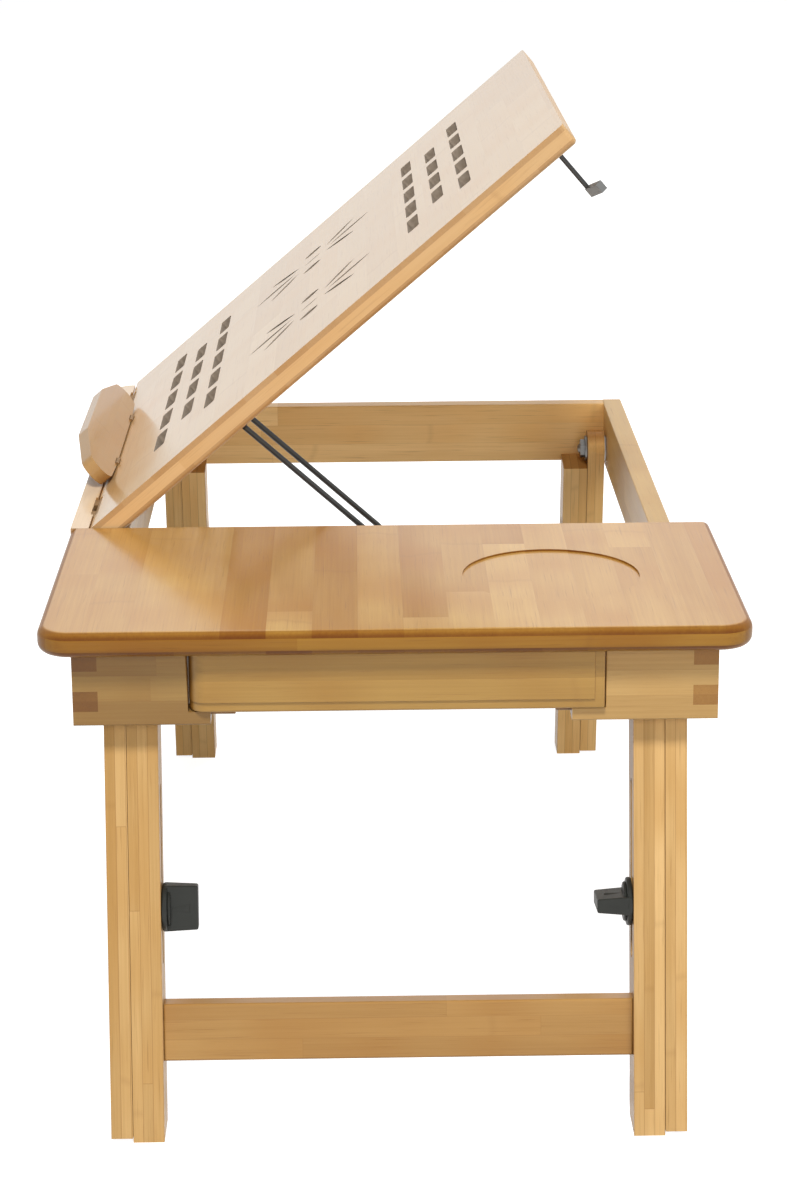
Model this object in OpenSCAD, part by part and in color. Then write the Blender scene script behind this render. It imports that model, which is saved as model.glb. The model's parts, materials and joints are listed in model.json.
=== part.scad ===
// Bamboo bed tray and laptop stand: a drawer under a fixed board, a tilting board with a wire prop,
// and two pairs of folding legs whose lower halves slide out.
// X is the long axis with the drawer end at +X, -Y is the user's side, and Z = 0 is the floor.

/* [Tray] */
// Overall length of the tray, along X
tray_l = 550; // [530:1:600]
// Overall width of the tray, along Y
tray_w = 353; // [340:1:380]
// Height of the top above the floor with the legs pushed in
stand_h = 267; // [230:1:268]
// Thickness of both top boards
board_t = 13; // [11:0.5:16]
// Length of the fixed board that covers the drawer
fixed_l = 188; // [180:1:194]
// Gap between the fixed board and the tilting board
board_gap = 1.5; // [1:0.1:3]
// Plan radius of the fixed board's free corners
corner_r = 17; // [6:1:28]
// Diameter of the cup recess
cup_d = 92; // [70:1:100]
// Depth of the cup recess
cup_deep = 1; // [1:0.5:5]
// Cup recess centre, from the drawer end of the tray
cup_from_end = 92; // [60:1:110]
// Cup recess centre, from the tray's middle line
cup_off = 82; // [50:1:110]

/* [Frame] */
// Depth of the rails under the boards
rail_h = 39; // [37:0.5:50]
// Thickness of the rails
rail_t = 12.5; // [11:0.5:16]
// How far the boards stand out past the long rails
side_over = 16.5; // [14:0.5:20]
// How far the boards stand out past the end rails
end_over = 13; // [8:0.5:20]
// Height of one finger of the corner joints
finger_h = 10.5; // [7:0.5:12]
// Width of the fixed strip in front of the tilting board
strip_w = 9.9; // [7:0.1:12]
// How far the strip stops short of the far end of the tray
strip_short = 13; // [8:1:24]
// Plan radius of the strip's far corner
strip_r = 8; // [2:0.5:9]
// Clearance between the folded legs and the notched rail
fold_gap = 0.9; // [0.5:0.1:1]
// Depth of the rabbeted foot that glues the strip to the front rail
strip_foot = 9; // [5:0.5:20]
// Thickness of the cross rail under the edge of the fixed board
mid_rail_t = 12; // [9:0.5:16]
// Depth of the cross rails where the folded legs pass under them
cross_rail_h = 12; // [8:0.5:13]
// Width of the notched rail that the wire prop stands on
prop_rail_w = 14; // [10:1:20]
// Height of the notched rail
prop_rail_h = 4.8; // [4:0.1:5]

/* [Tilting board] */
// Angle of the tilting board as it stands here
tilt = 40.5; // [0:0.5:45]
// Radius of the round on the hinged edge, centred on the hinge pin
hinge_r = 2.2; // [1.9:0.1:3]
// Clearance between the hinged edge and the strip
hinge_clear = 0.3; // [0.2:0.05:0.8]
// Clearance between the shut board and the rails under it
rest_clear = 0.25; // [0.1:0.05:0.5]
// Plan radius of the tilting board's free corners
board_corner_r = 3; // [2:0.5:12]
// How far the ledge and the ornaments sit off the board's middle
middle_off = 1.5; // [-4:0.5:4]
// Length of a slot of the vent pattern
slot_l = 38; // [25:1:42]
// Width of a slot of the vent pattern
slot_w = 8; // [5:0.5:11]
// Spacing of the slots along the board
slot_pitch = 50.7; // [46:0.1:56]
// Distance between the three rows of slots
row_pitch = 19.2; // [14:0.2:24]
// Middle row of the lower vents, from the hinged edge
low_vents = 66.3; // [60:0.1:75]
// Middle row of the upper vents, from the hinged edge
high_vents = 258.7; // [245:0.1:275]
// How far the patterns sit off the board's middle
pattern_off = -4.5; // [-10:0.5:10]
// Distance between the two leaf ornaments
sprig_gap = 142; // [120:1:160]
// Middle of the leaf ornaments, from the hinged edge
sprig_from = 161; // [150:1:175]
// Length of the longest leaf of an ornament
leaf_l = 33; // [24:1:36]
// Width of a leaf
leaf_w = 5; // [3:0.2:6]
// Angle between the leaves of a fan
leaf_fan = 33; // [24:1:40]
// Distance from an ornament's middle to its side ovals
oval_off = 24; // [18:1:28]

/* [Book ledge] */
// Length of the ledge
ledge_l = 194; // [120:1:220]
// Height of the ledge above the board
ledge_h = 27.6; // [20:0.2:30]
// Thickness of the ledge
ledge_t = 7.5; // [5:0.5:7.5]
// Rear face of the ledge, from the hinged edge of the board
ledge_back = 9.7; // [9.5:0.1:14]
// Radius of the ledge's corners
ledge_r = 9; // [6:0.5:10]
// How far the ledge's low corners sit in from its ends
ledge_low_in = 34; // [24:1:40]
// How far the ledge's top corners sit in from its ends
ledge_top_in = 48; // [36:1:56]
// Height of the ledge's widest corners above the board
ledge_wide_at = 9.9; // [9:0.1:12]
// Middle of a ledge hinge, from the end of the ledge
ledge_hinge_in = 43; // [36:1:50]
// Gap under the ledge, which its hinges take up
ledge_gap = 0.7; // [0.5:0.1:1]

/* [Wire prop and latch] */
// Diameter of the prop's wire
wire_d = 3.2; // [2.5:0.1:4]
// Distance between the prop's two arms
prop_w = 31; // [28:1:50]
// Middle of the prop, from the edge of the fixed board
prop_in = 50; // [36:1:52]
// Pivot of the prop, from the hinged edge of the board
prop_from = 98; // [92:1:106]
// Pivot of the prop below the underside of the board
prop_drop = 3.2; // [2.6:0.1:4]
// Length of the prop from its pivot to its foot
prop_l = 104.8; // [100:0.1:110]
// Depth of the notches for the foot of the prop
notch_deep = 0.8; // [0.5:0.1:1.2]
// Clearance of the prop's foot over the notched rail
foot_gap = 0.25; // [0.2:0.05:0.5]
// Diameter of the latch rod
latch_d = 2.8; // [2.5:0.1:4]
// Latch rod, from the edge of the fixed board
latch_in = 62; // [30:1:90]
// Length of the latch foot
latch_foot_l = 13.5; // [10:0.5:13.5]
// Width of the latch foot
latch_foot_w = 4.4; // [3:0.2:4.4]
// Height of the latch foot, along the rod
latch_foot_t = 6; // [2:0.5:8]
// How far the foot is turned from straight out towards the drawer end
latch_turn = 60; // [0:5:90]
// Bottom of the latch foot above the lower edge of the rear rail
latch_up = 1; // [0.5:0.5:3]

/* [Drawer] */
// Height of the drawer front
front_h = 30.5; // [26:0.5:31]
// Thickness of the drawer front
front_t = 13; // [10:0.5:16]
// How far the drawer front stands proud of the end rail
front_proud = 4; // [0:0.5:6]
// Free gap round the drawer front
front_gap = 0.5; // [0.3:0.1:1]
// Drawer opening, from the middle line to the front edge
open_front = 103; // [95:0.5:108]
// Drawer opening, from the middle line to the rear edge
open_rear = 104; // [95:0.5:108]
// Gap over the drawer front
front_over = 1.2; // [0.8:0.1:1.5]
// How far the front lip reaches in under the drawer box
lip_front = 1; // [0.5:0.5:8]
// How far the rear lip reaches in under the drawer box
lip_rear = 5.5; // [0.5:0.5:8]
// Outer width of the drawer box
box_w = 186; // [160:1:188]
// Length of the drawer box behind its front
box_l = 154; // [120:1:156]
// Height of the drawer sides
box_h = 28; // [20:0.5:29]
// Thickness of the drawer sides and back
side_t = 8; // [6:0.5:12]
// Thickness of the drawer bottom
bottom_t = 3; // [2:0.5:5]
// Height of the bottom above the lower edge of the drawer sides
bottom_up = 2.5; // [2:0.5:4]
// Free space behind the drawer box
back_gap = 2.5; // [1:0.5:5]
// Depth of the groove that the bottom sits in
groove = 3; // [2:0.5:4]
// Thickness of the drawer runners
runner_t = 6.2; // [4:0.2:6.6]
// Width of a drawer runner
runner_w = 17; // [12:0.5:20]
// Sliding gap between the drawer box and its runners
slide_gap = 0.5; // [0.2:0.1:1]

/* [Legs] */
// Width of the legs, seen from the side
leg_w = 24; // [20:1:27]
// Thickness of the upper leg
upper_t = 11; // [8:0.2:12]
// Thickness of the lower leg
lower_t = 15.8; // [11:0.1:16]
// Angle by which the open legs lean outward
lean = 10; // [4:0.5:12]
// Gap between the frame and the upper leg, filled by a washer
leg_side_gap = 1.3; // [1:0.1:2.5]
// Gap between the two halves of a leg
leg_face_gap = 0.2; // [0.1:0.05:0.5]
// Clearance between the open leg and the end rail it leans on
stop_clear = 0.2; // [0.1:0.05:0.5]
// Top of the lower leg, below the pivot
lower_top = 9.5; // [9:0.5:12]
// How far the upper leg stops short of the floor
foot_rise = 2; // [1:0.5:6]
// Clamp bolt, below the pivot
clamp_from = 114; // [110:1:125]
// Guide pin, below the clamp bolt
guide_from = 26; // [20:1:35]
// How far the lower legs slide out
leg_travel = 60; // [40:1:60]
// Height of the crossbar between the lower legs
bar_h = 29.5; // [20:0.5:34]
// Thickness of the crossbar
bar_t = 12; // [9:0.5:14]
// Middle of the crossbar above the floor
bar_up = 52; // [45:0.5:58]

/* [Hardware] */
// Diameter of the clamp bolts and guide pins
bolt_d = 6; // [5:0.5:6]
// Side clearance of the bolts in the leg slots
slot_clear = 0.3; // [0.2:0.05:0.5]
// Running clearance of a turning pin in its hole
pin_clear = 0.06; // [0.03:0.01:0.09]
// Thickness of a pivot washer
washer_t = 1.1; // [0.8:0.1:1.2]
// Diameter of the pivot nuts and washers
nut_d = 13; // [10:0.5:14]
// Height of the domed pivot nut
nut_h = 6; // [4:0.5:8]
// Thickness of bolt heads
head_t = 2; // [1.5:0.1:2.5]
// Radius of bolt heads
head_r = 7; // [5:0.5:8]
// Threaded end of a clamp bolt inside its knob
bolt_tail = 10; // [6:0.5:14]
// Thickness of a nut's flange
nut_flange_t = 1.2; // [0.8:0.1:2]
// How far a knob stands out from the leg
knob_out = 18; // [16:0.5:19]
// Width of a knob across its wings
knob_w = 22.4; // [18:0.2:25]
// Thickness of a knob's wings
knob_t = 9.5; // [7:0.5:12]
// Diameter of a knob's flange
flange_d = 24.5; // [18:0.5:25]
// Thickness of a knob's flange
flange_t = 4; // [3:0.5:6]
// Radius of a knob's hub
hub_r = 6.3; // [5:0.1:7]
// Diameter of the board hinges' pins
hinge_pin_d = 1.6; // [1.2:0.1:2]
// Length of a board hinge
hinge_l = 36; // [24:1:50]
// Middle of the far board hinge, from the far end of the board
hinge_in_far = 52; // [40:1:70]
// Middle of the near board hinge, from the near end of the board
hinge_in_near = 45; // [30:1:60]
// Thickness of the hinge leaves
leaf_t = 1.2; // [1:0.1:1.5]
// Depth of the hinge leaves
leaf_deep = 8; // [6:0.5:9]
// Radius of a wood screw's shank
screw_r = 1; // [0.8:0.1:1.2]
// Radius of a wood screw's head
screw_head_r = 1.9; // [1.6:0.1:2.2]
// Length of a hinge screw
screw_l = 4.5; // [3:0.5:4.5]
// Length of a prop eye's screw in the board
eye_screw_l = 6; // [4:0.5:8]

/* [Hidden] */
$fn = 48;
EPS = 0.01;
CUT = 1;
TINY = 0.3;

// Levels, from the floor up
top_z = stand_h;
under_z = top_z - board_t;
rail_bot = under_z - rail_h;

// Frame plan
out_y = tray_w / 2 - side_over;
in_y = out_y - rail_t;
out_x = tray_l / 2 - end_over;
in_x = out_x - rail_t;
fixed_x = tray_l / 2 - fixed_l;
tilt_x1 = fixed_x - board_gap;
tilt_x0 = -tray_l / 2;
front_y = -tray_w / 2;
strip_x0 = strip_short - tray_l / 2;
rear_y = tray_w / 2;

// Tilting board: hinge pin, and how the board lies when it is shut
edge_y = front_y + strip_w + hinge_clear;
pin_y = edge_y + hinge_r;
pin_z = top_z - hinge_r;
board_mid = (tilt_x0 + tilt_x1) / 2;
tilt_under = under_z + rest_clear;
pattern_x = board_mid + pattern_off;
hinge_x = [tilt_x0 + hinge_in_far, tilt_x1 - hinge_in_near];
middle_x = board_mid + middle_off;
knuckle_r = hinge_r - TINY;
hinge_pin_r = hinge_pin_d / 2;
knuckle_l = hinge_l / 3;
// Book ledge
ledge_half = ledge_l / 2;
ledge_hinges = [for (s = [-1, 1]) middle_x + s * (ledge_half - ledge_hinge_in)];
ledge_hinge_l = 12;
ledge_leaf = 0.8;
ledge_leaf_deep = 6.2;
ledge_knuckle = 1.3;
ledge_pin_r = 0.6;

// Prop and latch
wire_r = wire_d / 2;
prop_x = fixed_x - prop_in;
prop_shut_y = edge_y + prop_from;
prop_shut_z = tilt_under - prop_drop;
prop_y = pin_y + (prop_shut_y - pin_y) * cos(tilt) - (prop_shut_z - pin_z) * sin(tilt);
prop_z = pin_z + (prop_shut_y - pin_y) * sin(tilt) + (prop_shut_z - pin_z) * cos(tilt);
// The notched rail clears the folded legs below it, and the prop's foot stands over its top
prop_rail_z = rail_bot + leg_w + fold_gap;
prop_rail_top = prop_rail_z + prop_rail_h;
foot_z = prop_rail_top + wire_r + foot_gap;
prop_fall = asin((prop_z - foot_z) / prop_l);
foot_y = prop_y + prop_l * cos(prop_fall);
eye_t = 2;
eye_off = 5;
eye_flange = 9;
eye_len = 14;
eye_flange_t = 1;
latch_r = latch_d / 2;
latch_x = fixed_x - latch_in;
latch_gap = 0.8;
latch_y = out_y + latch_r + latch_gap;
latch_z = rail_bot + latch_up + latch_foot_t;
latch_room = 1;
bush_wall = 1.4;
bush_l = 9;
bush_rim = 1;
bush_rim_out = 1.6;

// Drawer
face_x = out_x + front_proud;
front_x = face_x - front_t;
front_z = under_z - front_over - front_h;
lip_z = front_z - front_gap;
box_half = box_w / 2;
box_x = front_x - box_l;
box_z = front_z + TINY;
bottom_z = box_z + bottom_up;
runner_y = box_half + slide_gap;
guide_t = 3.5;
guide_h = 8;
runner_top = box_z - slide_gap;
mid_x = box_x - back_gap - mid_rail_t;

// Legs
leg_r = leg_w / 2;
pivot_z = rail_bot + leg_r;
pivot_x = in_x - stop_clear - leg_r / cos(lean) - leg_r * tan(lean);
upper_out = in_y - leg_side_gap;
upper_in = upper_out - upper_t;
lower_out = upper_in - leg_face_gap;
lower_in = lower_out - lower_t;
leg_run = pivot_z / cos(lean) + leg_r * tan(lean) + CUT;
bolt_r = bolt_d / 2;
bar_from = (pivot_z - bar_up) / cos(lean);
ENDS = [1, -1];
SIDES = [-1, 1];

// ---------- helpers ----------
// A block given by its low and high corners
module block(low, high) {
    translate(low) cube(high - low);
}

// A rod along X, Y or Z from a start point
module rod_x(r, h) { rotate([0, 90, 0]) cylinder(r = r, h = h); }
module rod_y(r, h) { rotate([-90, 0, 0]) cylinder(r = r, h = h); }

// Turns what is modelled on the shut board to the board's present tilt
module on_board() {
    translate([0, pin_y, pin_z]) rotate([tilt, 0, 0]) translate([0, -pin_y, -pin_z]) children();
}

// The frame of one leg: its pivot at the origin, the leg running down along -Z, outward along +X
module at_leg(end, side) {
    mirror([end < 0 ? 1 : 0, 0, 0])
        mirror([0, side < 0 ? 1 : 0, 0])
            translate([pivot_x, 0, pivot_z])
                rotate([0, -lean, 0]) children();
}

// Everything below a level, over the whole tray
module below(level) {
    block([-tray_l, -tray_w, level - stand_h], [tray_l, tray_w, level]);
}

// A pointed leaf along +Y from the origin: two equal arcs
module leaf(l, w) {
    r = (l * l + w * w) / (4 * w);
    intersection() {
        translate([r - w / 2, l / 2]) circle(r = r, $fn = 160);
        translate([w / 2 - r, l / 2]) circle(r = r, $fn = 160);
    }
}

// A slot with small round corners, centred
module slot2d(l, w) {
    r = w / 4;
    square([l - 2 * r, w], center = true);
    square([l, w - 2 * r], center = true);
    for (sx = [-1, 1], sy = [-1, 1])
        translate([sx * (l / 2 - r), sy * (w / 2 - r)]) circle(r = r);
}

// ---------- boards ----------
// Plan of the fixed board, with its two free corners rounded
module fixed_plan() {
    difference() {
        translate([fixed_x, front_y]) square([fixed_l, tray_w]);
        for (side = SIDES)
            translate([tray_l / 2 - corner_r, side * (rear_y - corner_r)])
                difference() {
                    translate([0, side < 0 ? -corner_r - CUT : 0])
                        square([corner_r + CUT, corner_r + CUT]);
                    circle(r = corner_r, $fn = 96);
                }
    }
}

module fixed_board() {
    color([0.86, 0.7, 0.48])
        difference() {
            translate([0, 0, under_z]) linear_extrude(board_t) fixed_plan();
            translate([tray_l / 2 - cup_from_end, cup_off, top_z - cup_deep])
                cylinder(d = cup_d, h = cup_deep + CUT, $fn = 128);
        }
}

// Section of the strip: a lip level with the boards, and a foot glued to the front rail
module strip_section() {
    lip_y = front_y + strip_w;
    polygon([
        [front_y, under_z - strip_foot], [-out_y, under_z - strip_foot], [-out_y, under_z],
        [lip_y, under_z], [lip_y, top_z], [front_y, top_z]
    ]);
}

module front_strip() {
    color([0.86, 0.7, 0.48])
        difference() {
            translate([strip_x0, 0, 0])
                rotate([90, 0, 90]) linear_extrude(fixed_x - TINY - strip_x0) strip_section();
            // the far corner is rounded in plan
            translate([strip_x0 + strip_r, front_y + strip_r, under_z - strip_foot - CUT])
                difference() {
                    translate([-strip_r - CUT, -strip_r - CUT, 0])
                        cube([strip_r + CUT, strip_r + CUT, board_t + strip_foot + 2 * CUT]);
                    translate([0, 0, -CUT]) cylinder(r = strip_r, h = board_t + strip_foot + 4 * CUT);
                }
            // seats of the hinge leaves
            for (x = hinge_x)
                block([x - hinge_l / 2, edge_y - hinge_clear - leaf_t, pin_z - hinge_r - leaf_deep],
                      [x + hinge_l / 2, edge_y, top_z + CUT]);
            hinge_screw_holes(edge_y - hinge_clear - leaf_t, -1);
        }
}

// ---------- rails ----------
// The two fingers that a long rail pushes through an end rail
function finger_z(i) = under_z - (2 * i + 1) * finger_h;

module long_rail(side) {
    y0 = side < 0 ? -out_y : in_y;
    block([-in_x, y0, rail_bot], [in_x, y0 + rail_t, under_z]);
    for (end = ENDS, i = [0, 1])
        translate([end < 0 ? -out_x : in_x, y0, finger_z(i)]) cube([rail_t, rail_t, finger_h]);
}

// The sockets that those fingers leave in an end rail
module finger_sockets(end) {
    for (side = SIDES, i = [0, 1])
        translate([end < 0 ? -out_x - CUT : in_x - CUT, side < 0 ? -out_y - CUT : in_y, finger_z(i)])
            cube([rail_t + 2 * CUT, rail_t + CUT, i == 0 ? finger_h + CUT : finger_h]);
}

// Bores for the leg pivots through a long rail
module pivot_bores(r) {
    for (end = ENDS)
        translate([end * pivot_x, -tray_w, pivot_z]) rod_y(r, 2 * tray_w);
}

module front_rail() {
    color([0.8, 0.62, 0.38])
        difference() {
            long_rail(-1);
            pivot_bores(bolt_r);
        }
}

module rear_rail() {
    color([0.8, 0.62, 0.38])
        difference() {
            long_rail(1);
            pivot_bores(bolt_r);
            // the notch in its lower edge that the latch foot turns into
            block([latch_x - latch_foot_w / 2 - latch_room, in_y - CUT, rail_bot - CUT],
                  [latch_x + latch_foot_l + latch_room, out_y + CUT, latch_z + latch_room]);
        }
}

module far_end_rail() {
    color([0.78, 0.6, 0.36])
        difference() {
            block([-out_x, -out_y, rail_bot], [-in_x, out_y, under_z]);
            finger_sockets(-1);
        }
}

// The drawer end has a short rail at each side of the drawer, with a lip under the drawer front
module end_stub(side, opening, lip) {
    y_in = side * opening;
    y_out = side * out_y;
    y_lip = side * (box_half - lip);
    difference() {
        union() {
            block([in_x, min(y_in, y_out), rail_bot], [out_x, max(y_in, y_out), under_z]);
            block([in_x, min(y_in, y_lip) - EPS, rail_bot], [out_x, max(y_in, y_lip) + EPS, lip_z]);
        }
        finger_sockets(1);
    }
}

module drawer_end_rail_front() {
    color([0.78, 0.6, 0.36]) end_stub(-1, open_front, lip_front);
}

module drawer_end_rail_rear() {
    color([0.78, 0.6, 0.36]) end_stub(1, open_rear, lip_rear);
}

// Cross rail under the edge of the fixed board: shallow over the legs, deep behind the drawer
module mid_rail() {
    deep_y = runner_y + guide_t;
    color([0.78, 0.6, 0.36])
        union() {
            block([mid_x, -in_y, under_z - cross_rail_h], [mid_x + mid_rail_t, in_y, under_z]);
            block([mid_x, -deep_y, runner_top - runner_t], [mid_x + mid_rail_t, deep_y, under_z]);
        }
}

// Rail across the tray with the notches that the prop's foot drops into
module prop_rail() {
    notch_pitch = 12;
    color([0.76, 0.58, 0.35])
        difference() {
            block([prop_x - prop_rail_w / 2, -in_y, prop_rail_z],
                  [prop_x + prop_rail_w / 2, in_y, prop_rail_top]);
            for (i = [-1:3])
                translate([prop_x - prop_rail_w, foot_y + i * notch_pitch,
                           prop_rail_top + wire_r - notch_deep])
                    rod_x(wire_r, 2 * prop_rail_w);
        }
}

// Two L-shaped runners that carry and guide the drawer
module drawer_runners() {
    color([0.72, 0.55, 0.33])
        for (side = SIDES)
            mirror([0, side < 0 ? 1 : 0, 0])
                translate([mid_x + mid_rail_t, 0, 0])
                    rotate([90, 0, 90])
                        linear_extrude(in_x - mid_x - mid_rail_t)
                            polygon([
                                [runner_y + guide_t - runner_w, runner_top - runner_t],
                                [runner_y + guide_t, runner_top - runner_t],
                                [runner_y + guide_t, runner_top + guide_h],
                                [runner_y, runner_top + guide_h],
                                [runner_y, runner_top],
                                [runner_y + guide_t - runner_w, runner_top]
                            ]);
}

// ---------- board hinges ----------
// Two screws a leaf, driven along Y from the leaf's face
module hinge_screw_holes(y, dir) {
    for (x = hinge_x, s = [-1, 1])
        translate([x + s * hinge_l / 3, y, pin_z - hinge_r - leaf_deep / 2])
            rotate([dir < 0 ? 90 : -90, 0, 0])
                translate([0, 0, -leaf_t - CUT]) cylinder(r = screw_r, h = screw_l + 2 * CUT + leaf_t);
}

module hinge_screws(y, dir) {
    for (x = hinge_x, s = [-1, 1])
        translate([x + s * hinge_l / 3, y, pin_z - hinge_r - leaf_deep / 2])
            rotate([dir < 0 ? 90 : -90, 0, 0]) {
                cylinder(r = screw_r, h = screw_l);
                translate([0, 0, -leaf_t]) cylinder(r1 = screw_head_r, r2 = screw_r, h = leaf_t);
            }
}

// The screw's countersink in a leaf
module leaf_holes(y, dir) {
    for (x = hinge_x, s = [-1, 1])
        translate([x + s * hinge_l / 3, y, pin_z - hinge_r - leaf_deep / 2])
            rotate([dir < 0 ? 90 : -90, 0, 0]) {
                translate([0, 0, -leaf_t]) cylinder(r1 = screw_head_r, r2 = screw_r, h = leaf_t);
                translate([0, 0, -leaf_t - CUT]) cylinder(r = screw_head_r, h = CUT + EPS);
            }
}

module board_hinge_frame_leaves() {
    y0 = edge_y - hinge_clear - leaf_t;
    color([0.55, 0.55, 0.55])
        difference() {
            union() {
                for (x = hinge_x) {
                    block([x - hinge_l / 2, y0, pin_z - hinge_r - leaf_deep],
                          [x + hinge_l / 2, y0 + leaf_t, pin_z - hinge_r]);
                    for (s = [-1, 1])
                        translate([x + s * knuckle_l - (knuckle_l - TINY) / 2, 0, 0]) {
                            block([0, y0, pin_z - hinge_r - EPS],
                                  [knuckle_l - TINY, y0 + leaf_t, pin_z + hinge_pin_r]);
                            block([0, y0, pin_z - hinge_pin_r],
                                  [knuckle_l - TINY, pin_y, pin_z + hinge_pin_r]);
                            translate([0, pin_y, pin_z]) rod_x(knuckle_r, knuckle_l - TINY);
                        }
                }
            }
            translate([tilt_x0, pin_y, pin_z]) rod_x(hinge_pin_r + pin_clear, tray_l);
            leaf_holes(y0, -1);
        }
}

module board_hinge_frame_screws() {
    color([0.6, 0.6, 0.6]) hinge_screws(edge_y - hinge_clear - leaf_t, -1);
}

module board_leaf_solid() {
    for (x = hinge_x) {
        block([x - hinge_l / 2, edge_y, pin_z - hinge_r - leaf_deep],
              [x + hinge_l / 2, edge_y + leaf_t, pin_z - hinge_r - TINY]);
        translate([x - (knuckle_l - TINY) / 2, 0, 0]) {
            block([0, edge_y, pin_z - hinge_r - TINY - EPS],
                  [knuckle_l - TINY, edge_y + leaf_t, pin_z]);
            translate([0, pin_y, pin_z]) rod_x(knuckle_r, knuckle_l - TINY);
        }
    }
}

module board_hinge_board_leaves() {
    color([0.55, 0.55, 0.55])
        on_board()
            difference() {
                board_leaf_solid();
                translate([tilt_x0, pin_y, pin_z]) rod_x(hinge_pin_r, tray_l);
                leaf_holes(edge_y + leaf_t, 1);
            }
}

module board_hinge_pins() {
    color([0.5, 0.5, 0.5])
        for (x = hinge_x)
            translate([x - hinge_l / 2, pin_y, pin_z]) rod_x(hinge_pin_r, hinge_l);
}

module board_hinge_board_screws() {
    color([0.6, 0.6, 0.6]) on_board() hinge_screws(edge_y + leaf_t, 1);
}

// ---------- tilting board ----------
// Rows of slots above and below the ornaments: five, four and five
module vent_pattern(middle) {
    for (row = [-1, 0, 1], i = [0:(row == 0 ? 3 : 4)])
        translate([pattern_x + (i - (row == 0 ? 1.5 : 2)) * slot_pitch, middle + row * row_pitch])
            slot2d(slot_l, slot_w);
}

// A fan of three pointed leaves up and down, an oval at each side and a slit in the middle
module sprig() {
    oval_l = leaf_w * 2.8;
    translate([0, -oval_l / 2]) leaf(oval_l, leaf_w / 2);
    for (side = [-1, 1]) {
        translate([side * oval_off, -oval_l / 2]) leaf(oval_l, leaf_w * 1.6);
        mirror([0, side < 0 ? 1 : 0])
            for (k = [-1, 0, 1])
                translate([k * leaf_w * 1.7, oval_l * (k == 0 ? 1 : 0.8)])
                    rotate(-k * leaf_fan) leaf(leaf_l - leaf_w * abs(k), leaf_w);
    }
}

module tilt_board_solid() {
    difference() {
        union() {
            block([tilt_x0, edge_y + hinge_r, tilt_under], [tilt_x1, rear_y, top_z]);
            block([tilt_x0, edge_y, tilt_under], [tilt_x1, edge_y + hinge_r + EPS, pin_z]);
            translate([tilt_x0, pin_y, pin_z]) rod_x(hinge_r, tilt_x1 - tilt_x0);
        }
        // round the two free rear corners in plan
        for (x = [tilt_x0, tilt_x1])
            translate([x + (x < 0 ? 1 : -1) * board_corner_r, rear_y - board_corner_r, under_z - CUT])
                difference() {
                    translate([x < 0 ? -board_corner_r - CUT : 0, 0, 0])
                        cube([board_corner_r + CUT, board_corner_r + CUT, board_t + 2 * CUT]);
                    translate([0, 0, -CUT]) cylinder(r = board_corner_r, h = board_t + 4 * CUT);
                }
        translate([0, edge_y, under_z - CUT])
            linear_extrude(board_t + 2 * CUT) {
                vent_pattern(low_vents);
                vent_pattern(high_vents);
                for (s = [-1, 1])
                    translate([middle_x + s * sprig_gap / 2, sprig_from]) sprig();
            }
        // seats of the hinge leaves and room for the knuckles
        for (x = hinge_x) {
            block([x - hinge_l / 2 - TINY, edge_y - CUT, pin_z - hinge_r - TINY],
                  [x + hinge_l / 2 + TINY, pin_y + hinge_r, top_z + CUT]);
            block([x - hinge_l / 2, edge_y - CUT, pin_z - hinge_r - leaf_deep],
                  [x + hinge_l / 2, edge_y + leaf_t, pin_z]);
        }
        hinge_screw_holes(edge_y + leaf_t, 1);
        // seats of the ledge hinges
        ledge_seats();
        // stepped hole of the latch bush
        translate([latch_x, latch_y, tilt_under - CUT]) {
            cylinder(r = latch_r + bush_wall, h = bush_l + CUT);
            cylinder(r = latch_r + bush_wall + bush_rim_out, h = bush_rim + CUT);
        }
        prop_screw_holes();
    }
}

module tilt_board() {
    color([0.9, 0.78, 0.62]) on_board() tilt_board_solid();
}

// ---------- book ledge ----------
ledge_y = edge_y + ledge_back;
ledge_z = top_z + ledge_gap;

// Outline of the ledge seen along the board: a low hexagon with round corners
module ledge_outline() {
    corners = [
        [ledge_half - ledge_low_in, ledge_r],
        [ledge_half - ledge_r, ledge_wide_at],
        [ledge_half - ledge_top_in, ledge_h - ledge_gap - ledge_r]
    ];
    hull()
        for (s = [-1, 1], c = corners)
            translate([s * c[0], c[1]]) circle(r = ledge_r, $fn = 32);
}

// A row of knuckles on the ledge's hinge axis
module ledge_knuckles(l, shift) {
    for (x = ledge_hinges)
        translate([x + shift - l / 2, ledge_y, ledge_z]) rod_x(ledge_knuckle, l);
}

module ledge_seats() {
    for (x = ledge_hinges) {
        block([x - ledge_hinge_l / 2, ledge_y - ledge_leaf_deep, top_z - ledge_leaf],
              [x + ledge_hinge_l / 2, ledge_y, top_z + CUT]);
        translate([x - ledge_hinge_l / 2 - TINY, ledge_y, ledge_z])
            rod_x(ledge_knuckle + TINY, ledge_hinge_l + 2 * TINY);
    }
}

module book_ledge() {
    color([0.8, 0.63, 0.42])
        on_board()
            difference() {
                translate([middle_x, ledge_y, ledge_z])
                    rotate([90, 0, 0]) linear_extrude(ledge_t) ledge_outline();
                for (x = ledge_hinges) {
                    block([x - ledge_hinge_l / 2, ledge_y - ledge_leaf_deep, ledge_z - CUT],
                          [x + ledge_hinge_l / 2, ledge_y + CUT, ledge_z + ledge_leaf]);
                    translate([x - ledge_hinge_l / 2 - TINY, ledge_y, ledge_z])
                        rod_x(ledge_knuckle + TINY, ledge_hinge_l + 2 * TINY);
                }
            }
}

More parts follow.
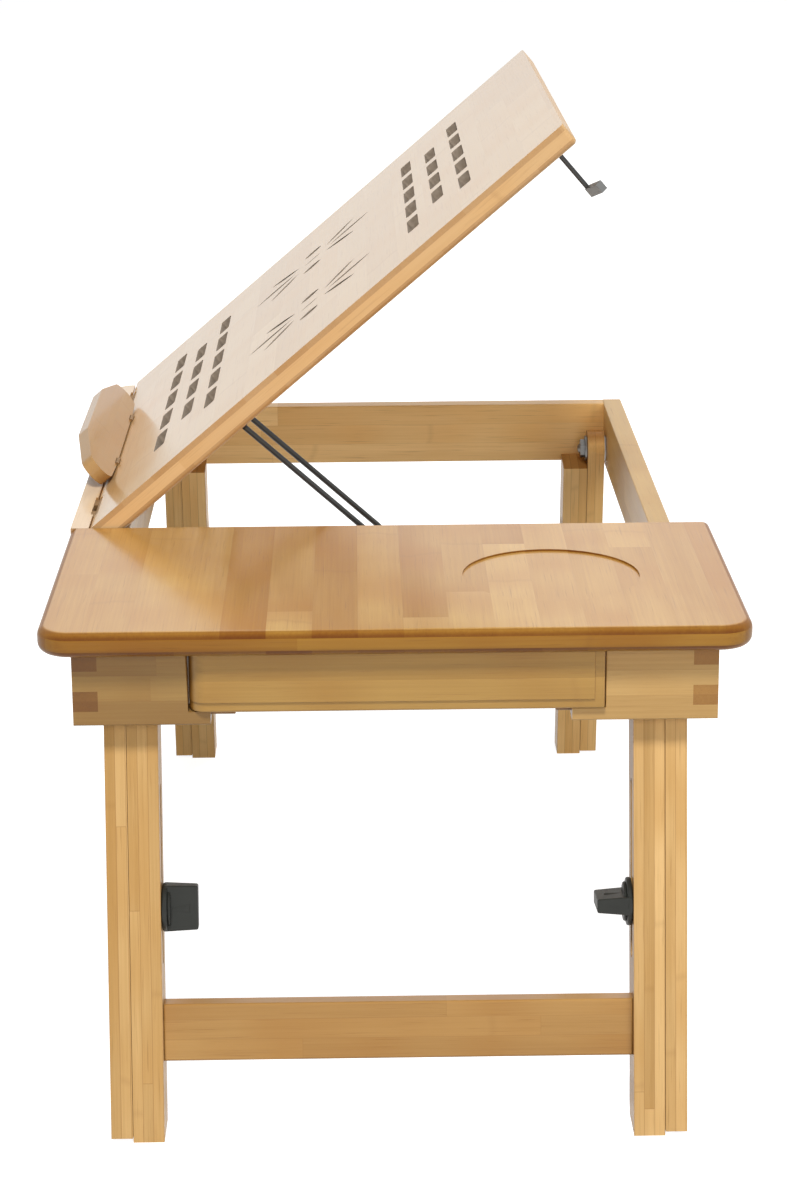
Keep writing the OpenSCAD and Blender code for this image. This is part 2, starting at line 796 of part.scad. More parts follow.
// The lower leaves lie in the board, the upper ones in the ledge
module ledge_leaf_set(z0, shift, bore) {
    third = ledge_hinge_l / 3;
    difference() {
        for (x = ledge_hinges) {
            block([x - ledge_hinge_l / 2, ledge_y - ledge_leaf_deep, z0],
                  [x + ledge_hinge_l / 2, ledge_y - ledge_knuckle - TINY, z0 + ledge_leaf]);
            for (k = shift)
                translate([x + k * third - (third - TINY) / 2, 0, 0]) {
                    block([0, ledge_y - ledge_knuckle - 2 * TINY, z0],
                          [third - TINY, ledge_y, z0 + ledge_leaf]);
                    translate([0, ledge_y, ledge_z]) rod_x(ledge_knuckle, third - TINY);
                }
        }
        translate([tilt_x0, ledge_y, ledge_z]) rod_x(bore, tray_l);
    }
}

module ledge_hinge_leaves() {
    color([0.45, 0.45, 0.45]) on_board() ledge_leaf_set(top_z - ledge_leaf, [-1, 1], ledge_pin_r);
}

module ledge_hinge_tops() {
    color([0.45, 0.45, 0.45]) on_board() ledge_leaf_set(ledge_z, [0], ledge_pin_r + pin_clear);
}

module ledge_hinge_pins() {
    color([0.5, 0.5, 0.5])
        on_board()
            for (x = ledge_hinges)
                translate([x - ledge_hinge_l / 2, ledge_y, ledge_z]) rod_x(ledge_pin_r, ledge_hinge_l);
}

// ---------- wire prop ----------
// Two eye brackets under the board take the turned-in ends of the wire
function eye_at(s) = prop_x + s * (prop_w / 2 - eye_off);

module prop_eye(s) {
    eye_r = prop_drop - TINY / 2;
    translate([eye_at(s) - eye_t / 2, 0, 0])
        difference() {
            union() {
                translate([0, prop_shut_y, prop_shut_z]) rod_x(eye_r, eye_t);
                block([0, prop_shut_y - eye_r, prop_shut_z], [eye_t, prop_shut_y + eye_r, tilt_under]);
                block([s < 0 ? 0 : eye_t - eye_flange, prop_shut_y - eye_len / 2,
                       tilt_under - eye_flange_t],
                      [s < 0 ? eye_flange : eye_t, prop_shut_y + eye_len / 2, tilt_under]);
            }
            translate([-CUT, prop_shut_y, prop_shut_z]) rod_x(wire_r + pin_clear, eye_t + 2 * CUT);
        }
}

// One screw through the flange of each eye
module at_eye_screws() {
    for (s = [-1, 1], e = [-1, 1])
        translate([eye_at(s) - s * eye_flange * 0.55, prop_shut_y + e * eye_len * 0.32, tilt_under])
            children();
}

module prop_screw_holes() {
    at_eye_screws() translate([0, 0, -CUT]) cylinder(r = screw_r, h = eye_screw_l + 2 * CUT);
}

module prop_eyes() {
    color([0.4, 0.4, 0.4])
        on_board()
            difference() {
                for (s = [-1, 1]) prop_eye(s);
                at_eye_screws()
                    translate([0, 0, -eye_flange_t - CUT])
                        cylinder(r = screw_r, h = eye_flange_t + 2 * CUT);
            }
}

module prop_eye_screws() {
    color([0.6, 0.6, 0.6])
        on_board()
            at_eye_screws() {
                translate([0, 0, -2 * eye_flange_t])
                    cylinder(r = screw_r, h = 2 * eye_flange_t + eye_screw_l);
                translate([0, 0, -2 * eye_flange_t]) cylinder(r = screw_head_r, h = eye_flange_t);
            }
}

module wire_prop() {
    turn_in = eye_off + eye_t / 2 + 1.5;
    color([0.3, 0.3, 0.3])
        translate([0, prop_y, prop_z])
            rotate([-prop_fall, 0, 0]) {
                for (s = [-1, 1]) {
                    translate([prop_x + s * prop_w / 2, 0, 0]) rod_y(wire_r, prop_l);
                    translate([prop_x + s * prop_w / 2, 0, 0]) sphere(r = wire_r);
                    translate([prop_x + s * prop_w / 2, prop_l, 0]) sphere(r = wire_r);
                    translate([prop_x + s * prop_w / 2 - (s < 0 ? 0 : turn_in), 0, 0])
                        rod_x(wire_r, turn_in);
                }
                translate([prop_x - prop_w / 2, prop_l, 0]) rod_x(wire_r, prop_w);
            }
}

// ---------- latch ----------
module latch_bush() {
    color([0.5, 0.5, 0.5])
        on_board()
            translate([latch_x, latch_y, tilt_under])
                difference() {
                    union() {
                        cylinder(r = latch_r + bush_wall, h = bush_l);
                        cylinder(r = latch_r + bush_wall + bush_rim_out, h = bush_rim);
                    }
                    translate([0, 0, -CUT]) cylinder(r = latch_r + pin_clear, h = bush_l + 2 * CUT);
                }
}

module latch_rod() {
    color([0.35, 0.35, 0.35])
        on_board()
            translate([latch_x, latch_y, latch_z - latch_foot_t])
                cylinder(r = latch_r, h = tilt_under + bush_l - 0.5 - latch_z + latch_foot_t);
}

// The foot stands clear of the rail while the board is free, and turns into the rail's notch to lock
module latch_foot() {
    color([0.5, 0.5, 0.5])
        on_board()
            translate([latch_x, latch_y, latch_z - latch_foot_t])
                rotate([0, 0, -latch_turn])
                    difference() {
                        block([-latch_foot_w / 2, 0, 0], [latch_foot_w / 2, latch_foot_l, latch_foot_t]);
                        translate([0, 0, -CUT]) cylinder(r = latch_r, h = latch_foot_t + 2 * CUT);
                    }
}

// ---------- drawer ----------
module drawer_front() {
    edge = 5;
    step = 1;
    y0 = front_gap - open_front;
    y1 = open_rear - front_gap;
    color([0.84, 0.68, 0.45])
        difference() {
            block([front_x, y0, front_z], [face_x, y1, front_z + front_h]);
            // shallow border along the bottom and the rear end of the face
            block([face_x - step, y0 - CUT, front_z - CUT], [face_x + CUT, y1 + CUT, front_z + edge]);
            block([face_x - step, y1 - edge, front_z - CUT],
                  [face_x + CUT, y1 + CUT, front_z + front_h + CUT]);
        }
}

module drawer_side(side) {
    y0 = side < 0 ? -box_half : box_half - side_t;
    color([0.82, 0.66, 0.44])
        difference() {
            block([box_x, y0, box_z], [front_x, y0 + side_t, box_z + box_h]);
            block([box_x - CUT, -box_half + side_t - groove, bottom_z],
                  [front_x + CUT, box_half - side_t + groove, bottom_z + bottom_t]);
        }
}

module drawer_side_front() {
    drawer_side(-1);
}

module drawer_side_rear() {
    drawer_side(1);
}

module drawer_back() {
    color([0.82, 0.66, 0.44])
        block([box_x, -box_half + side_t, bottom_z + bottom_t],
              [box_x + side_t, box_half - side_t, box_z + box_h]);
}

module drawer_bottom() {
    color([0.87, 0.74, 0.54])
        block([box_x, -box_half + side_t - groove, bottom_z],
              [front_x, box_half - side_t + groove, bottom_z + bottom_t]);
}

// ---------- legs ----------
// Straight leg strip between two faces, from a level along the leg down to the floor cut
module leg_strip(y0, y1, top) {
    block([-leg_r, y0, -leg_run], [leg_r, y1, -top]);
}

module upper_leg(end, side) {
    color([0.82, 0.64, 0.4])
        difference() {
            at_leg(end, side)
                difference() {
                    union() {
                        leg_strip(upper_in, upper_out, 0);
                        translate([0, upper_in, 0]) rod_y(leg_r, upper_t);
                    }
                    translate([0, upper_in - CUT, 0]) rod_y(bolt_r + pin_clear, upper_t + 2 * CUT);
                    for (s = [clamp_from, clamp_from + guide_from])
                        translate([0, upper_in - CUT, -s]) rod_y(bolt_r, upper_t + 2 * CUT);
                    translate([0, upper_out - head_t - TINY, -clamp_from])
                        rod_y(head_r + TINY, head_t + CUT);
                }
            below(foot_rise);
        }
}

module lower_leg(end, side) {
    slot_r = bolt_r + slot_clear;
    color([0.84, 0.67, 0.43])
        difference() {
            at_leg(end, side)
                difference() {
                    leg_strip(lower_in, lower_out, lower_top);
                    // the slot that slides past the clamp bolt and the guide pin
                    translate([-slot_r, lower_in - CUT, -clamp_from - guide_from])
                        cube([2 * slot_r, lower_t + 2 * CUT, guide_from + leg_travel]);
                    for (s = [clamp_from - leg_travel, clamp_from + guide_from])
                        translate([0, lower_in - CUT, -s]) rod_y(slot_r, lower_t + 2 * CUT);
                }
            below(0);
        }
}

module upper_leg_drawer_front() { upper_leg(1, -1); }
module upper_leg_drawer_rear() { upper_leg(1, 1); }
module upper_leg_far_front() { upper_leg(-1, -1); }
module upper_leg_far_rear() { upper_leg(-1, 1); }
module lower_leg_drawer_front() { lower_leg(1, -1); }
module lower_leg_drawer_rear() { lower_leg(1, 1); }
module lower_leg_far_front() { lower_leg(-1, -1); }
module lower_leg_far_rear() { lower_leg(-1, 1); }

module crossbar(end) {
    color([0.84, 0.67, 0.43])
        at_leg(end, 1)
            block([-bar_t / 2, -lower_in, -bar_from - bar_h / 2],
                  [bar_t / 2, lower_in, -bar_from + bar_h / 2]);
}

module crossbar_drawer() {
    crossbar(1);
}

module crossbar_far() {
    crossbar(-1);
}

// ---------- leg hardware ----------
// Pivot bolt: head outside the long rail, domed nut inside the upper leg
module leg_pivot_bolts() {
    color([0.7, 0.7, 0.7])
        for (end = ENDS, side = SIDES)
            at_leg(end, side) {
                translate([0, upper_in - nut_h + 1, 0]) rod_y(bolt_r, out_y - upper_in + nut_h - 1);
                translate([0, out_y, 0]) rod_y(head_r, head_t);
            }
}

module leg_pivot_washers() {
    gap = (leg_side_gap - washer_t) / 2;
    color([0.6, 0.6, 0.6])
        for (end = ENDS, side = SIDES)
            at_leg(end, side)
                difference() {
                    translate([0, upper_out + gap, 0]) rod_y(nut_d / 2 + 2, washer_t);
                    translate([0, upper_out, 0]) rod_y(bolt_r, leg_side_gap);
                }
}

module leg_pivot_nuts() {
    color([0.75, 0.75, 0.75])
        for (end = ENDS, side = SIDES)
            at_leg(end, side)
                difference() {
                    union() {
                        translate([0, upper_in - TINY - nut_flange_t, 0])
                            rod_y(nut_d / 2 + 2, nut_flange_t);
                        translate([0, upper_in - nut_h - TINY, 0]) rod_y(nut_d / 2 - 0.5, nut_h);
                    }
                    translate([0, upper_in - nut_h + 1, 0]) rod_y(bolt_r, nut_h);
                }
}

module clamp_bolts(end) {
    color([0.7, 0.7, 0.7])
        for (side = SIDES)
            at_leg(end, side)
                translate([0, 0, -clamp_from]) {
                    translate([0, lower_in - bolt_tail, 0])
                        rod_y(bolt_r, upper_out - lower_in + bolt_tail - head_t);
                    translate([0, upper_out - head_t - TINY, 0]) rod_y(head_r, head_t);
                }
}

module clamp_bolts_drawer() {
    clamp_bolts(1);
}

module clamp_bolts_far() {
    clamp_bolts(-1);
}

module guide_pins(end) {
    color([0.7, 0.7, 0.7])
        for (side = SIDES)
            at_leg(end, side)
                translate([0, lower_in + 2, -clamp_from - guide_from])
                    rod_y(bolt_r, upper_out - lower_in - 2);
}

module guide_pins_drawer() {
    guide_pins(1);
}

module guide_pins_far() {
    guide_pins(-1);
}

// Plastic wing knob on the inner face of a leg; broadside turns its wings across the leg
module knob(end, side, turn) {
    base = lower_in - TINY;
    color([0.2, 0.2, 0.19])
        at_leg(end, side)
            translate([0, 0, -clamp_from])
                difference() {
                    union() {
                        translate([0, base - flange_t, 0]) rod_y(flange_d / 2, flange_t);
                        translate([0, base - knob_out, 0]) rod_y(hub_r, knob_out);
                        rotate([0, turn, 0])
                            block([-knob_t / 2, base - knob_out, -knob_w / 2],
                                  [knob_t / 2, base - flange_t + EPS, knob_w / 2]);
                    }
                    translate([0, lower_in - bolt_tail - CUT, 0])
                        rod_y(bolt_r + pin_clear, bolt_tail + 2 * CUT);
                }
}

module knob_drawer_front() { knob(1, -1, 0); }
module knob_drawer_rear() { knob(1, 1, 90); }
module knob_far_front() { knob(-1, -1, 0); }
module knob_far_rear() { knob(-1, 1, 90); }

fixed_board();
front_strip();
front_rail();
rear_rail();
far_end_rail();
drawer_end_rail_front();
drawer_end_rail_rear();
mid_rail();
prop_rail();
drawer_runners();
board_hinge_frame_leaves();
board_hinge_frame_screws();
leg_pivot_bolts();
leg_pivot_washers();
leg_pivot_nuts();
tilt_board();
board_hinge_board_leaves();
board_hinge_pins();
board_hinge_board_screws();
prop_eyes();
prop_eye_screws();
latch_bush();
ledge_hinge_leaves();
ledge_hinge_pins();
book_ledge();
ledge_hinge_tops();
wire_prop();
latch_rod();
latch_foot();
drawer_front();
drawer_side_front();
drawer_side_rear();
drawer_back();
drawer_bottom();
upper_leg_drawer_front();
upper_leg_drawer_rear();
clamp_bolts_drawer();
guide_pins_drawer();
lower_leg_drawer_front();
lower_leg_drawer_rear();
crossbar_drawer();
knob_drawer_front();
knob_drawer_rear();
upper_leg_far_front();
upper_leg_far_rear();
clamp_bolts_far();
guide_pins_far();
lower_leg_far_front();
lower_leg_far_rear();
crossbar_far();
knob_far_front();
knob_far_rear();
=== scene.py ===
import bmesh
import bpy
import json
import math
from mathutils import Matrix, Vector


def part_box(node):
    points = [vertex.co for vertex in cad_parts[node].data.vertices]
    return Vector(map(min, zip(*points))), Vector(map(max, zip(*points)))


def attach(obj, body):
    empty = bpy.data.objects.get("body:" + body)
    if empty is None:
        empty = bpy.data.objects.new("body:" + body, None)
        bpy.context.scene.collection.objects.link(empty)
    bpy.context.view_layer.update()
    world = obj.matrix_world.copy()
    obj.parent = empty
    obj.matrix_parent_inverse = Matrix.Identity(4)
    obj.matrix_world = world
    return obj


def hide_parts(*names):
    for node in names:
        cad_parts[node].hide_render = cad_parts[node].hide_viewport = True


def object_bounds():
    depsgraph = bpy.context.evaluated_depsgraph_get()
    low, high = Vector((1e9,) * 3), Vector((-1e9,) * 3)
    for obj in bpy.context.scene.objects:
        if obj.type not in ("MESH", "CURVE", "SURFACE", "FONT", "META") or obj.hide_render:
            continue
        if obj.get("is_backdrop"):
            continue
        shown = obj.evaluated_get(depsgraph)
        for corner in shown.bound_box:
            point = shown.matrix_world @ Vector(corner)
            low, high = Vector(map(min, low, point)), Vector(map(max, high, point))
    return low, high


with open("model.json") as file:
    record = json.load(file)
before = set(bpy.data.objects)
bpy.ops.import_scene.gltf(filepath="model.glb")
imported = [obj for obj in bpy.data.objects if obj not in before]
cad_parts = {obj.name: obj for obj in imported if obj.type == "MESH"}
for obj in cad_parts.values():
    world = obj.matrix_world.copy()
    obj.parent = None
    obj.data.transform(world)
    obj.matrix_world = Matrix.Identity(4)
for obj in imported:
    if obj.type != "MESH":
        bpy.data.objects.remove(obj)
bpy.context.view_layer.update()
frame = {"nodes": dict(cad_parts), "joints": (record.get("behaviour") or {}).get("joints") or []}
joints = {joint["name"]: joint for joint in frame["joints"]}

# ---- Camera ----
# A long lens a metre and a half from the middle of the tray, before the drawer end and somewhat
# higher than the tilted board. It looks down by fifteen degrees.
CAMERA_PLACE = Vector((1.5726, -0.0176, 0.6912))
LOOK_DOWN = 0.26199
TURN = -0.01311
ROLL = -0.00724
LENS_MM = 83.95
forward = Vector((-math.cos(LOOK_DOWN) * math.cos(TURN), -math.cos(LOOK_DOWN) * math.sin(TURN),
                  -math.sin(LOOK_DOWN)))
level = forward.cross(Vector((0, 0, 1))).normalized()
rise = level.cross(forward)
right = level * math.cos(ROLL) + rise * math.sin(ROLL)
up = rise * math.cos(ROLL) - level * math.sin(ROLL)
camera = bpy.data.objects.new("camera", bpy.data.cameras.new("camera"))
bpy.context.scene.collection.objects.link(camera)
camera.matrix_world = Matrix.Translation(CAMERA_PLACE) @ Matrix((right, up, -forward)).transposed().to_4x4()
camera.data.lens = LENS_MM
camera.data.sensor_width = 36
camera.data.shift_y = -0.1
camera.data.clip_start = 0.05
camera.data.clip_end = 30
bpy.context.scene.camera = camera

# ---- White studio ----
# A white room with a lamp high over the camera, which throws the boards' shadow on rails and legs,
# a wide low lamp at the right that reaches in under the tilting board, and one behind. The floor is
# white and keeps shadows.
ROOM_LIGHT = 0.16
LAMPS = (("high_lamp", Vector((2.0, -0.35, 3.2)), 0.6, 98),
         ("right_lamp", Vector((3.0, 1.0, 1.15)), 1.5, 46),
         ("back_lamp", Vector((-2.6, 0.9, 1.9)), 1.5, 50))
LIT_PLACE = Vector((0.1, 0, 0.25))
FLOOR_HALF = 6
FLOOR_GLOW = 0.90
FLOOR_SEEN = (0.5, 0.5, 0.5, 1)
FLOOR_BOUNCE = (0.4, 0.4, 0.4, 1)


def node(tree, kind, **settings):
    """A new shader node with its settings."""
    made = tree.nodes.new(kind)
    for key, value in settings.items():
        setattr(made, key, value)
    return made


def calc(tree, operation, *values):
    """The result of one sum, on numbers and sockets."""
    made = node(tree, "ShaderNodeMath", operation=operation)
    for socket, value in zip(made.inputs, values):
        if isinstance(value, (int, float)):
            socket.default_value = value
        else:
            tree.links.new(value, socket)
    return made.outputs[0]


def seen_and_lit(tree, lit, seen, out):
    """Gives one shader to the light, and another to the eye and to reflections."""
    rays = node(tree, "ShaderNodeLightPath")
    mirrored = calc(tree, "MAXIMUM", rays.outputs["Is Glossy Ray"], rays.outputs["Is Transmission Ray"])
    mix = node(tree, "ShaderNodeMixShader")
    tree.links.new(calc(tree, "MAXIMUM", rays.outputs["Is Camera Ray"], mirrored), mix.inputs[0])
    tree.links.new(lit.outputs[0], mix.inputs[1])
    tree.links.new(seen.outputs[0], mix.inputs[2])
    tree.links.new(mix.outputs[0], out.inputs["Surface"])


room = bpy.data.worlds.new("room")
bpy.context.scene.world = room
room.use_nodes = True
room_tree = room.node_tree
room_tree.nodes.clear()
room_light = node(room_tree, "ShaderNodeBackground")
room_white = node(room_tree, "ShaderNodeBackground")
room_light.inputs["Strength"].default_value = ROOM_LIGHT
room_light.inputs["Color"].default_value = (1, 1, 1, 1)
room_white.inputs["Strength"].default_value = 1
room_white.inputs["Color"].default_value = (1, 1, 1, 1)
seen_and_lit(room_tree, room_light, room_white, node(room_tree, "ShaderNodeOutputWorld"))

for name, place, size, watts in LAMPS:
    lamp = bpy.data.objects.new(name, bpy.data.lights.new(name, "AREA"))
    bpy.context.scene.collection.objects.link(lamp)
    lamp.data.size = size
    lamp.data.energy = watts
    lamp.location = place
    lamp.rotation_euler = (LIT_PLACE - place).to_track_quat("-Z", "Y").to_euler()
    lamp.visible_glossy = False

floor_shape = bmesh.new()
bmesh.ops.create_grid(floor_shape, x_segments=2, y_segments=2, size=FLOOR_HALF)
floor_mesh = bpy.data.meshes.new("floor")
floor_shape.to_mesh(floor_mesh)
floor_shape.free()
floor = bpy.data.objects.new("floor", floor_mesh)
bpy.context.scene.collection.objects.link(floor)
floor_paint = bpy.data.materials.new("white_floor")
floor_paint.use_nodes = True
floor_tree = floor_paint.node_tree
floor_tree.nodes.clear()
floor_bounce = node(floor_tree, "ShaderNodeBsdfDiffuse")
floor_bounce.inputs["Color"].default_value = FLOOR_BOUNCE
floor_shade = node(floor_tree, "ShaderNodeBsdfDiffuse")
floor_shade.inputs["Color"].default_value = FLOOR_SEEN
floor_glow = node(floor_tree, "ShaderNodeEmission")
floor_glow.inputs["Strength"].default_value = FLOOR_GLOW
floor_seen = node(floor_tree, "ShaderNodeAddShader")
floor_tree.links.new(floor_shade.outputs[0], floor_seen.inputs[0])
floor_tree.links.new(floor_glow.outputs[0], floor_seen.inputs[1])
seen_and_lit(floor_tree, floor_bounce, floor_seen, node(floor_tree, "ShaderNodeOutputMaterial"))
floor_mesh.materials.append(floor_paint)
floor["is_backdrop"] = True
bpy.context.scene.view_settings.view_transform = "Standard"

# ---- Fixed board ----
# Three plies of bamboo strips glued crosswise, the outer ones along the tray. The outline is milled
# with a big round below and a small one above, and the cup recess is cut by a straight cutter.
BOARD_STRIP = 0.0225
CORE_HALF = 0.0031
TOP_ROUND = 0.0044
UNDER_ROUND = 0.0050
HONEY = (0.39, 0.165, 0.012)
STRAW = (0.65, 0.39, 0.115)
FIBRE = (0.24, 0.10, 0.025)
# The edge tone of plied boards: partly their own duller lacquered edge, partly painted shade along the
# edges.
EDGE_TONE_AND_SHADE = (0.54, 0.44, 0.20)
END_TONE = (0.60, 0.47, 0.32)
GLUE_LINE = 0.0003
NODE_APART = 0.27
X, Y, Z = Vector((1, 0, 0)), Vector((0, 1, 0)), Vector((0, 0, 1))


def lerp(tree, amount, low, high):
    """A colour between two, by an amount from 0 to 1."""
    made = node(tree, "ShaderNodeMix", data_type="RGBA")
    for socket, value in ((made.inputs[0], amount), (made.inputs[6], low), (made.inputs[7], high)):
        if isinstance(value, (int, float)):
            socket.default_value = value
        elif isinstance(value, tuple):
            socket.default_value = (*value, 1)
        else:
            tree.links.new(value, socket)
    return made.outputs[2]


def noise(tree, along, across, through, detail, rough):
    """Noise from 0 to 1 at a place given by three sockets."""
    place = node(tree, "ShaderNodeCombineXYZ")
    for socket, value in zip(place.inputs, (along, across, through)):
        tree.links.new(value, socket)
    made = node(tree, "ShaderNodeTexNoise")
    made.inputs["Scale"].default_value = 1
    made.inputs["Detail"].default_value = detail
    made.inputs["Roughness"].default_value = rough
    tree.links.new(place.outputs[0], made.inputs["Vector"])
    return made.outputs["Fac"]


def kept(tree, value, most=1.0):
    """A value kept from 0 to a most."""
    return calc(tree, "MINIMUM", calc(tree, "MAXIMUM", value, 0.0), most)


def facing(tree, coords, way, low, high):
    """How far a surface faces a way, from 0 below the low cosine to 1 above the high one."""
    made = node(tree, "ShaderNodeVectorMath", operation="DOT_PRODUCT")
    tree.links.new(coords.outputs["Normal"], made.inputs[0])
    made.inputs[1].default_value = way
    turned = calc(tree, "SUBTRACT", calc(tree, "ABSOLUTE", made.outputs["Value"]), low)
    return kept(tree, calc(tree, "DIVIDE", turned, high - low))


def stained(tree, amount, colour, tone):
    """Darkens a colour by a tone, by an amount."""
    made = node(tree, "ShaderNodeMix", data_type="RGBA", blend_type="MULTIPLY")
    tree.links.new(amount, made.inputs[0])
    tree.links.new(colour, made.inputs[6])
    made.inputs[7].default_value = (*tone, 1)
    return made.outputs[2]


def skin(name):
    """A new material: its tree, its one shader and the piece's own coordinates."""
    material = bpy.data.materials.new(name)
    material.use_nodes = True
    tree = material.node_tree
    tree.nodes.clear()
    shader = node(tree, "ShaderNodeBsdfPrincipled")
    out = node(tree, "ShaderNodeOutputMaterial")
    tree.links.new(shader.outputs[0], out.inputs["Surface"])
    return material, tree, shader, node(tree, "ShaderNodeTexCoord")


def mottle(tree, coords, scale, detail=2.0):
    """Noise of one grain all over a piece."""
    made = node(tree, "ShaderNodeTexNoise")
    made.inputs["Scale"].default_value = scale
    made.inputs["Detail"].default_value = detail
    tree.links.new(coords.outputs["Object"], made.inputs["Vector"])
    return made.outputs["Fac"]


def ripple(tree, shader, height, strength, distance):
    """Fine relief, for what is too small to model."""
    bump = node(tree, "ShaderNodeBump")
    bump.inputs["Strength"].default_value = strength
    bump.inputs["Distance"].default_value = distance
    tree.links.new(height, bump.inputs["Height"])
    tree.links.new(bump.outputs[0], shader.inputs["Normal"])


def bamboo(name, along, across, at, strip, strip_l=0.41, seed=0.0, dark=HONEY, light=STRAW,
           core=None, coat=1.0, coat_rough=0.18, strip_change=0.62, lines=0.08, edge=EDGE_TONE_AND_SHADE,
           end=END_TONE, flecks=0.4):
    """Lacquered bamboo: glued strips of differing tone, their butt joints and nodes, and long fibres.
    Sawn ends drink the lacquer and are darker and duller. The whole edge of a plied board is darker and
    duller too: partly its own tone, partly painted shade."""
    material, tree, shader, coords = skin(name)
    turn = Matrix((along, across, along.cross(across)))
    place = node(tree, "ShaderNodeMapping", vector_type="POINT")
    place.inputs["Rotation"].default_value = turn.to_euler("XYZ")
    place.inputs["Location"].default_value = -(turn @ at)
    tree.links.new(coords.outputs["Object"], place.inputs["Vector"])
    parts = node(tree, "ShaderNodeSeparateXYZ")
    tree.links.new(place.outputs[0], parts.inputs[0])
    run, side, depth = parts.outputs
    ply = calc(tree, "ADD", 0.0, seed)
    if core is not None:
        # the middle ply lies crosswise
        outer = calc(tree, "GREATER_THAN", calc(tree, "ABSOLUTE", depth), core)
        ply = calc(tree, "MULTIPLY_ADD", calc(tree, "SIGN", depth), outer, seed)
        swap = calc(tree, "MULTIPLY", calc(tree, "SUBTRACT", run, side), outer)
        run, side = (calc(tree, "ADD", side, swap), calc(tree, "SUBTRACT", run, swap))
    # which strip, and which length of it
    across_no = calc(tree, "DIVIDE", side, strip)
    strip_no = calc(tree, "FLOOR", across_no)
    first = node(tree, "ShaderNodeTexWhiteNoise", noise_dimensions="2D")
    place_a = node(tree, "ShaderNodeCombineXYZ")
    tree.links.new(strip_no, place_a.inputs[0])
    tree.links.new(ply, place_a.inputs[1])
    tree.links.new(place_a.outputs[0], first.inputs["Vector"])
    along_no = calc(tree, "ADD", calc(tree, "DIVIDE", run, strip_l),
                    calc(tree, "MULTIPLY", first.outputs["Value"], 7.0))
    length_no = calc(tree, "FLOOR", along_no)
    second = node(tree, "ShaderNodeTexWhiteNoise", noise_dimensions="3D")
    place_b = node(tree, "ShaderNodeCombineXYZ")
    tree.links.new(strip_no, place_b.inputs[0])
    tree.links.new(length_no, place_b.inputs[1])
    tree.links.new(ply, place_b.inputs[2])
    tree.links.new(place_b.outputs[0], second.inputs["Vector"])
    draw = node(tree, "ShaderNodeSeparateColor")
    tree.links.new(second.outputs["Color"], draw.inputs[0])
    shift = calc(tree, "MULTIPLY", draw.outputs[0], 31.0)
    # long fibres, short dark pores and slow changes of tone
    fibre, pore, slow, patch = (
        noise(tree, calc(tree, "MULTIPLY_ADD", run, long_grain, shift),
              calc(tree, "MULTIPLY", side, fine_grain), calc(tree, "MULTIPLY", depth, fine_grain),
              detail, rough)
        for long_grain, fine_grain, detail, rough in (
            (9.0, 620.0, 4.0, 0.6), (34.0, 1500.0, 2.0, 0.5), (6.0, 38.0, 2.0, 0.5), (16.0, 9.0, 1.0, 0.5)))
    tone = calc(tree, "MULTIPLY_ADD", calc(tree, "SUBTRACT", draw.outputs[1], 0.5), strip_change, 0.5)
    tone = calc(tree, "MULTIPLY_ADD", calc(tree, "SUBTRACT", slow, 0.5), 0.9, tone)
    tone = calc(tree, "MULTIPLY_ADD", calc(tree, "SUBTRACT", fibre, 0.5), 0.75, tone)
    colour = lerp(tree, kept(tree, tone), dark, light)
    reddish = tuple(a * b for a, b in zip(dark, (1.06, 0.94, 0.70)))
    warm = calc(tree, "MULTIPLY", calc(tree, "SUBTRACT", patch, 0.42), 1.6)
    colour = lerp(tree, kept(tree, warm, 0.42), colour, reddish)
    pores = kept(tree, calc(tree, "MULTIPLY", calc(tree, "SUBTRACT", pore, 0.61), 2.8), flecks)
    colour = lerp(tree, pores, colour, FIBRE)
    # the node of the cane: a thin wavy brown line across each strip
    wave = calc(tree, "MULTIPLY", calc(tree, "SUBTRACT", slow, 0.5), 0.02)
    node_at = calc(tree, "ADD", calc(tree, "DIVIDE", calc(tree, "ADD", run, wave), NODE_APART),
                   calc(tree, "MULTIPLY", draw.outputs[2], 5.0))
    node_off = calc(tree, "ABSOLUTE", calc(tree, "SUBTRACT", calc(tree, "FRACT", node_at), 0.5))
    node_band = calc(tree, "SUBTRACT", 1.0, calc(tree, "DIVIDE", node_off, 0.011))
    node_band = calc(tree, "MULTIPLY", calc(tree, "MAXIMUM", node_band, 0.0), 0.13)
    colour = lerp(tree, node_band, colour, FIBRE)
    # glue lines between the strips and at their butt joints
    edge_a = calc(tree, "ABSOLUTE", calc(tree, "SUBTRACT", calc(tree, "FRACT", across_no), 0.5))
    edge_a = calc(tree, "MULTIPLY", calc(tree, "SUBTRACT", 0.5, edge_a), strip / GLUE_LINE)
    edge_b = calc(tree, "ABSOLUTE", calc(tree, "SUBTRACT", calc(tree, "FRACT", along_no), 0.5))
    edge_b = calc(tree, "MULTIPLY", calc(tree, "SUBTRACT", 0.5, edge_b), strip_l / GLUE_LINE)
    glue = calc(tree, "SUBTRACT", 1.0, calc(tree, "MINIMUM", calc(tree, "MINIMUM", edge_a, edge_b), 1.0))
    colour = lerp(tree, calc(tree, "MULTIPLY", glue, lines), colour, FIBRE)
    ends = facing(tree, coords, along, 0.6, 0.9)
    if core is not None:
        ends = calc(tree, "MULTIPLY", ends, outer)
        broad = facing(tree, coords, along.cross(across), 0.93, 0.99)
        # the edge faces are darkened: partly their own tone, partly painted shade
        colour = stained(tree, calc(tree, "SUBTRACT", 1.0, broad), colour, edge)
        tree.links.new(calc(tree, "MULTIPLY_ADD", broad, 0.7, 0.3), shader.inputs["Coat Weight"])
    else:
        shader.inputs["Coat Weight"].default_value = coat
    colour = stained(tree, ends, colour, end)
    shader.inputs["IOR"].default_value = 1.5
    shader.inputs["Specular IOR Level"].default_value = 0.15
    shader.inputs["Coat Roughness"].default_value = coat_rough
    shader.inputs["Coat IOR"].default_value = 1.5
    tree.links.new(colour, shader.inputs["Base Color"])
    tree.links.new(calc(tree, "MULTIPLY_ADD", fibre, 0.22, 0.36), shader.inputs["Roughness"])
